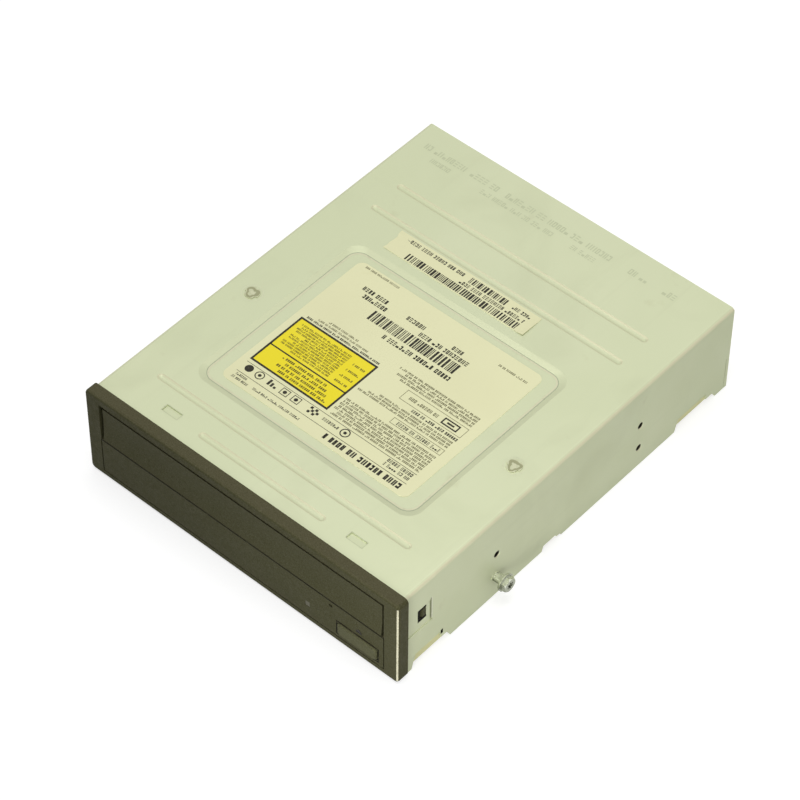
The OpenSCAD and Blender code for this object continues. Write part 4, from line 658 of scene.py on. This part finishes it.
def side_creases():
    """Painted shadow and painted highlight along a pressed line behind the right side's latch window, and
    painted shadows in the window and a notch.
    """
    out = HALF_W + LIFT
    crease_y, low, high = 17.6, 19.0, 30.4
    # painted shadow and painted highlight along the pressed line
    for name, material, y0, y1 in (("crease_shadow", CREASE_SHADE, crease_y, crease_y + 0.4),
                                   ("crease_highlight", CREASE_HIGHLIGHT, crease_y + 0.4, crease_y + 1.0)):
        crease = Print(sideways(out))
        crease.bar(y0, low, y1, high)
        crease.make(name, material, "case_steel")
    # painted shadow where the notch's hole is
    notch = Print(sideways(out))
    notch.bar(23.1, 5.2, 24.3, 7.4)
    notch.make("notch_shadow", GAP_SHADOW, "case_steel")

    latch_x = HALF_W - 0.3
    y0, z0, long, high = 11.2, 22.2, 4.4, 6.4
    front, below, above = 1.1, 1.2, 0.9
    # painted shadow inside the latch window
    shade = Print(sideways(latch_x + LIFT))
    shade.bar(y0, z0, y0 + front, z0 + high)
    shade.bar(y0 + front, z0, y0 + long, z0 + below)
    shade.bar(y0 + front, z0 + high - above, y0 + long, z0 + high)
    shade.make("window_shade", GAP_SHADOW, "bezel_plastic")


def edge_shine():
    """Painted highlight: a bright line along the bezel's right front edge, where its rounding catches the
    light.
    """
    low, high, off = 1.6, 40.4, 0.02
    rail = [(73.1, -off), (73.73 + off, 0.27 - off)]
    verts = [place(x, y, z) for z in (low, high) for x, y in rail]
    mesh_piece("edge_shine", verts, [[0, 1, 3, 2]], EDGE_HIGHLIGHT, "case")


def pocket_edge_shade():
    """Painted shade as a thin outline round the two small pockets near the front of the top."""
    away, y, wide, deep, line = 43.5, 13.0, 7.2, 2.9, 0.3
    half_x, half_y = wide / 2 + line, deep / 2 + line
    lines = Print(level(CASE_TOP + LIFT))
    for x in (-away, away):
        # painted shade along the pockets' edges
        lines.frame(x - half_x, y - half_y, x + half_x, y + half_y, line)
    lines.make("pocket_edge_shade", LEGEND_AND_POCKET_SHADE, "case_steel")


def recess_shade_and_highlight():
    """Painted shade as a dark line and painted highlight as a pale line along the foot of the recess's
    slope.
    """
    middle_y, foot_w, foot_l, foot_r, foot_z = 74.85, 99.0, 83.1, 5.35, CASE_TOP - 0.8
    corner_steps = 8

    def outline(inset):
        """Rounded rectangle that lies inside the foot by an inset."""
        radius = foot_r - inset
        half_x, half_y = foot_w / 2 - foot_r, foot_l / 2 - foot_r
        points = []
        for quarter, (sx, sy) in enumerate(((1, 1), (-1, 1), (-1, -1), (1, -1))):
            for step in range(corner_steps + 1):
                a = (quarter + step / corner_steps) * math.pi / 2
                x, y = sx * half_x + radius * math.cos(a), sy * half_y + radius * math.sin(a)
                points.append((x, middle_y + y))
        return points

    # painted shade, then painted highlight, in two rings
    for name, material, near, far in (("recess_shade", RECESS_SHADE, 0.0, 0.3),
                                      ("recess_shine", RECESS_HIGHLIGHT, 0.3, 1.0)):
        ring = Print(level(foot_z + LIFT))
        ring.ribbon(outline(near), outline(far))
        ring.make(name, material, "case_steel")


def front_groove_shadows():
    """Painted shadow as dark lines round the eject button and below the door, standing for the shade in
    their grooves.
    """
    x, z, wide, high, clear_gap, line = 55.25, 8.15, 18.1, 5.9, 0.3, 0.45
    half_x, half_z = wide / 2 + clear_gap + line, high / 2 + clear_gap + line
    door_x, door_low, door_line = 67.3, 19.68, 0.4
    # painted shadow of the grooves
    groove = Print(upright(-LIFT))
    groove.frame(x - half_x, z - half_z, x + half_x, z + half_z, line)
    groove.bar(-door_x, door_low, door_x, door_low + door_line)
    groove.make("groove_shadow_lines", GAP_SHADOW, "bezel_plastic")


def paper_strip():
    """Small label with a torn left end and a right end that lifts a little."""
    dice = random.Random(3)
    lo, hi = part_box("small_label")
    cols, rows = 40, 6
    x0, x1 = lo.x / MM, hi.x / MM
    y0, y1 = lo.y / MM + FACE, hi.y / MM + FACE
    base = lo.z / MM
    thick = (hi.z - lo.z) / MM
    curl_long, curl_high, tear_in, ripple_high = 5, 0.5, 0.6, 0.05
    tear = [dice.uniform(-0.9, 0.5) for _ in range(rows + 1)]
    top, faces = [], []
    for i in range(cols + 1):
        for j in range(rows + 1):
            t = i / cols
            x = x0 + (x1 - x0) * t + max(0.0, 1 - 12 * t) * (tear[j] + tear_in)
            y = y0 + (y1 - y0) * j / rows
            curl = max(0.0, (x - (x1 - curl_long)) / curl_long) ** 2 * curl_high * (1 - j / rows)
            ripple = ripple_high * max(0.0, 1 - 8 * t) * (1 + math.sin(9 * j + 40 * t))
            top.append((x, y, curl + ripple))
    count = len(top)
    verts = [place(x, y, base + thick + lift) for x, y, lift in top]
    verts += [place(x, y, base + lift) for x, y, lift in top]
    wide = rows + 1
    for i in range(cols):
        for j in range(rows):
            a = i * wide + j
            faces.append((a, a + wide, a + wide + 1, a + 1))
            faces.append((count + a, count + a + 1, count + a + wide + 1, count + a + wide))
    rim = [j for j in range(wide)] + [i * wide + rows for i in range(1, cols + 1)]
    rim += [cols * wide + j for j in range(rows - 1, -1, -1)] + [i * wide for i in range(cols - 1, 0, -1)]
    for a, b in zip(rim, rim[1:] + rim[:1]):
        faces.append((a, b, count + b, count + a))
    obj = mesh_piece("paper_strip", verts, faces, MATERIALS["label_paper"].material, "case")
    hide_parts("small_label")


def eject_mark():
    """Raised triangle and bar above the button."""
    out, sunk = -0.12, 0.05
    x, z, half = 55.9, 14.0, 1.3
    triangle = [(x - half, z), (x + half, z), (x, z + 1.2)]
    bar = [(x - half, z - 0.8), (x + half, z - 0.8), (x + half, z - 0.35), (x - half, z - 0.35)]
    verts, faces = [], []
    for points in (triangle, bar):
        first, n = len(verts), len(points)
        verts += [place(px, y, pz) for y in (out, sunk) for px, pz in points]
        faces.append([first + i for i in range(n)])
        for i in range(n):
            j = (i + 1) % n
            faces.append([first + i, first + n + i, first + n + j, first + j])
    mesh_piece("eject_mark", verts, faces, MATERIALS["black_plastic"].material, "case")


print_main_label()
print_yellow_panel()
print_strip()
pressed_legend()
stud_marks()
side_creases()
pocket_edge_shade()
recess_shade_and_highlight()
front_groove_shadows()
edge_shine()
paper_strip()
eject_mark()


# Stage, light and camera

PHOTO_SIDE = 800      # width of the photo in pixels
FOCAL_PX = 3327.0     # focal length of the fitted camera, in the photo's pixels
AZIMUTH, ELEVATION, ROLL = math.radians(41.14), math.radians(48.20), math.radians(0.48)
TARGET = Vector((-0.00036, 0.08481 - FACE * MM, 0.020))
DISTANCE = 1.198

SKY_LIGHT = 0.42      # strength of the sky's light on the drive
SKY_SEEN = 1.0        # strength of the sky where it is seen: white
FLOOR_Z = -0.0002     # keeps the floor clear of the flat underside
FLOOR_HALF = 6.0
FLOOR_GLOW = 0.68     # brings the floor up to white where it is seen


def seen_directly(tree):
    """1 where the camera, a reflection or a view through glass meets a surface, and 0 for its light."""
    path = tree.nodes.new("ShaderNodeLightPath")
    total = path.outputs["Is Camera Ray"]
    for name in ("Is Glossy Ray", "Is Transmission Ray"):
        add = tree.nodes.new("ShaderNodeMath")
        add.operation = "MAXIMUM"
        tree.links.new(total, add.inputs[0])
        tree.links.new(path.outputs[name], add.inputs[1])
        total = add.outputs["Value"]
    return total


def stage_floor():
    """Pale floor that keeps the drive's shadow and can be seen through from below."""
    data = bpy.data.meshes.new("stage_floor")
    corners = [(x * FLOOR_HALF, y * FLOOR_HALF, FLOOR_Z) for x, y in ((-1, -1), (1, -1), (1, 1), (-1, 1))]
    data.from_pydata(corners, [], [(0, 1, 2, 3)])
    obj = bpy.data.objects.new("stage_floor", data)
    bpy.context.scene.collection.objects.link(obj)
    f = Finish("stage_white", "#B0B0B0", rough=0.9, specular=0.0)
    f.set("Emission Color", (1, 1, 1, 1))
    f.link(f.ramp(seen_directly(f.tree), 0, 1, 0, FLOOR_GLOW), f.shader.inputs["Emission Strength"])
    from_below = f.node("ShaderNodeNewGeometry").outputs["Backfacing"]
    f.link(f.ramp(from_below, 0, 1, 1, 0), f.shader.inputs["Alpha"])
    dress(obj, f.material)


def area_light(name, at, target, size, power, colour=(1, 1, 1)):
    """Square lamp that faces a target; power in watts."""
    data = bpy.data.lights.new(name, "AREA")
    data.size = size
    data.energy = power
    data.color = colour
    obj = bpy.data.objects.new(name, data)
    obj.location = at
    obj.rotation_mode = "QUATERNION"
    obj.rotation_quaternion = (Vector(target) - Vector(at)).to_track_quat("-Z", "Y")
    bpy.context.scene.collection.objects.link(obj)
    return data


def studio():
    """White sky, a wide lamp above, and two weak ones for the right side and the front edge."""
    world = bpy.data.worlds.new("studio")
    world.use_nodes = True
    tree = world.node_tree
    sky = tree.nodes["Background"]
    sky.inputs["Color"].default_value = (1, 1, 1, 1)
    strength = tree.nodes.new("ShaderNodeMapRange")
    strength.inputs["To Min"].default_value = SKY_LIGHT
    strength.inputs["To Max"].default_value = SKY_SEEN
    tree.links.new(seen_directly(tree), strength.inputs["Value"])
    tree.links.new(strength.outputs["Result"], sky.inputs["Strength"])
    bpy.context.scene.world = world
    area_light("key", at=(0.0, -0.08, 1.6), target=(0, 0, 0), size=1.1, power=13.6)
    area_light("side", at=(0.8, -0.28, 0.1), target=(0.07, -0.02, 0.02), size=0.3, power=0.62,
               colour=(0.96, 1, 0.88))
    narrow = area_light("front", at=(0.2, -0.5, 0.12), target=(0.15, -0.092, 0.02), size=0.12, power=0.12)
    narrow.spread = math.radians(50)
    bpy.context.scene.view_settings.view_transform = "Standard"
    bpy.context.scene.view_settings.look = "None"


def photo_camera():
    """Camera at the photo's angle, distance and focal length."""
    flat = math.cos(ELEVATION)
    back = Vector((math.sin(AZIMUTH) * flat, -math.cos(AZIMUTH) * flat, math.sin(ELEVATION)))
    right = (-back).cross(Vector((0, 0, 1))).normalized()
    up = right.cross(-back)
    cos_roll, sin_roll = math.cos(ROLL), math.sin(ROLL)
    right, up = cos_roll * right + sin_roll * up, -sin_roll * right + cos_roll * up
    data = bpy.data.cameras.new("photo_camera")
    data.sensor_width = 36.0
    data.lens = FOCAL_PX / PHOTO_SIDE * data.sensor_width
    data.clip_start, data.clip_end = 0.05, 20
    obj = bpy.data.objects.new("photo_camera", data)
    turn = Matrix((right, up, back)).transposed()
    obj.rotation_mode = "QUATERNION"
    obj.rotation_quaternion = turn.to_quaternion()
    obj.location = TARGET + back * DISTANCE
    bpy.context.scene.collection.objects.link(obj)
    bpy.context.scene.camera = obj


stage_floor()
studio()
photo_camera()
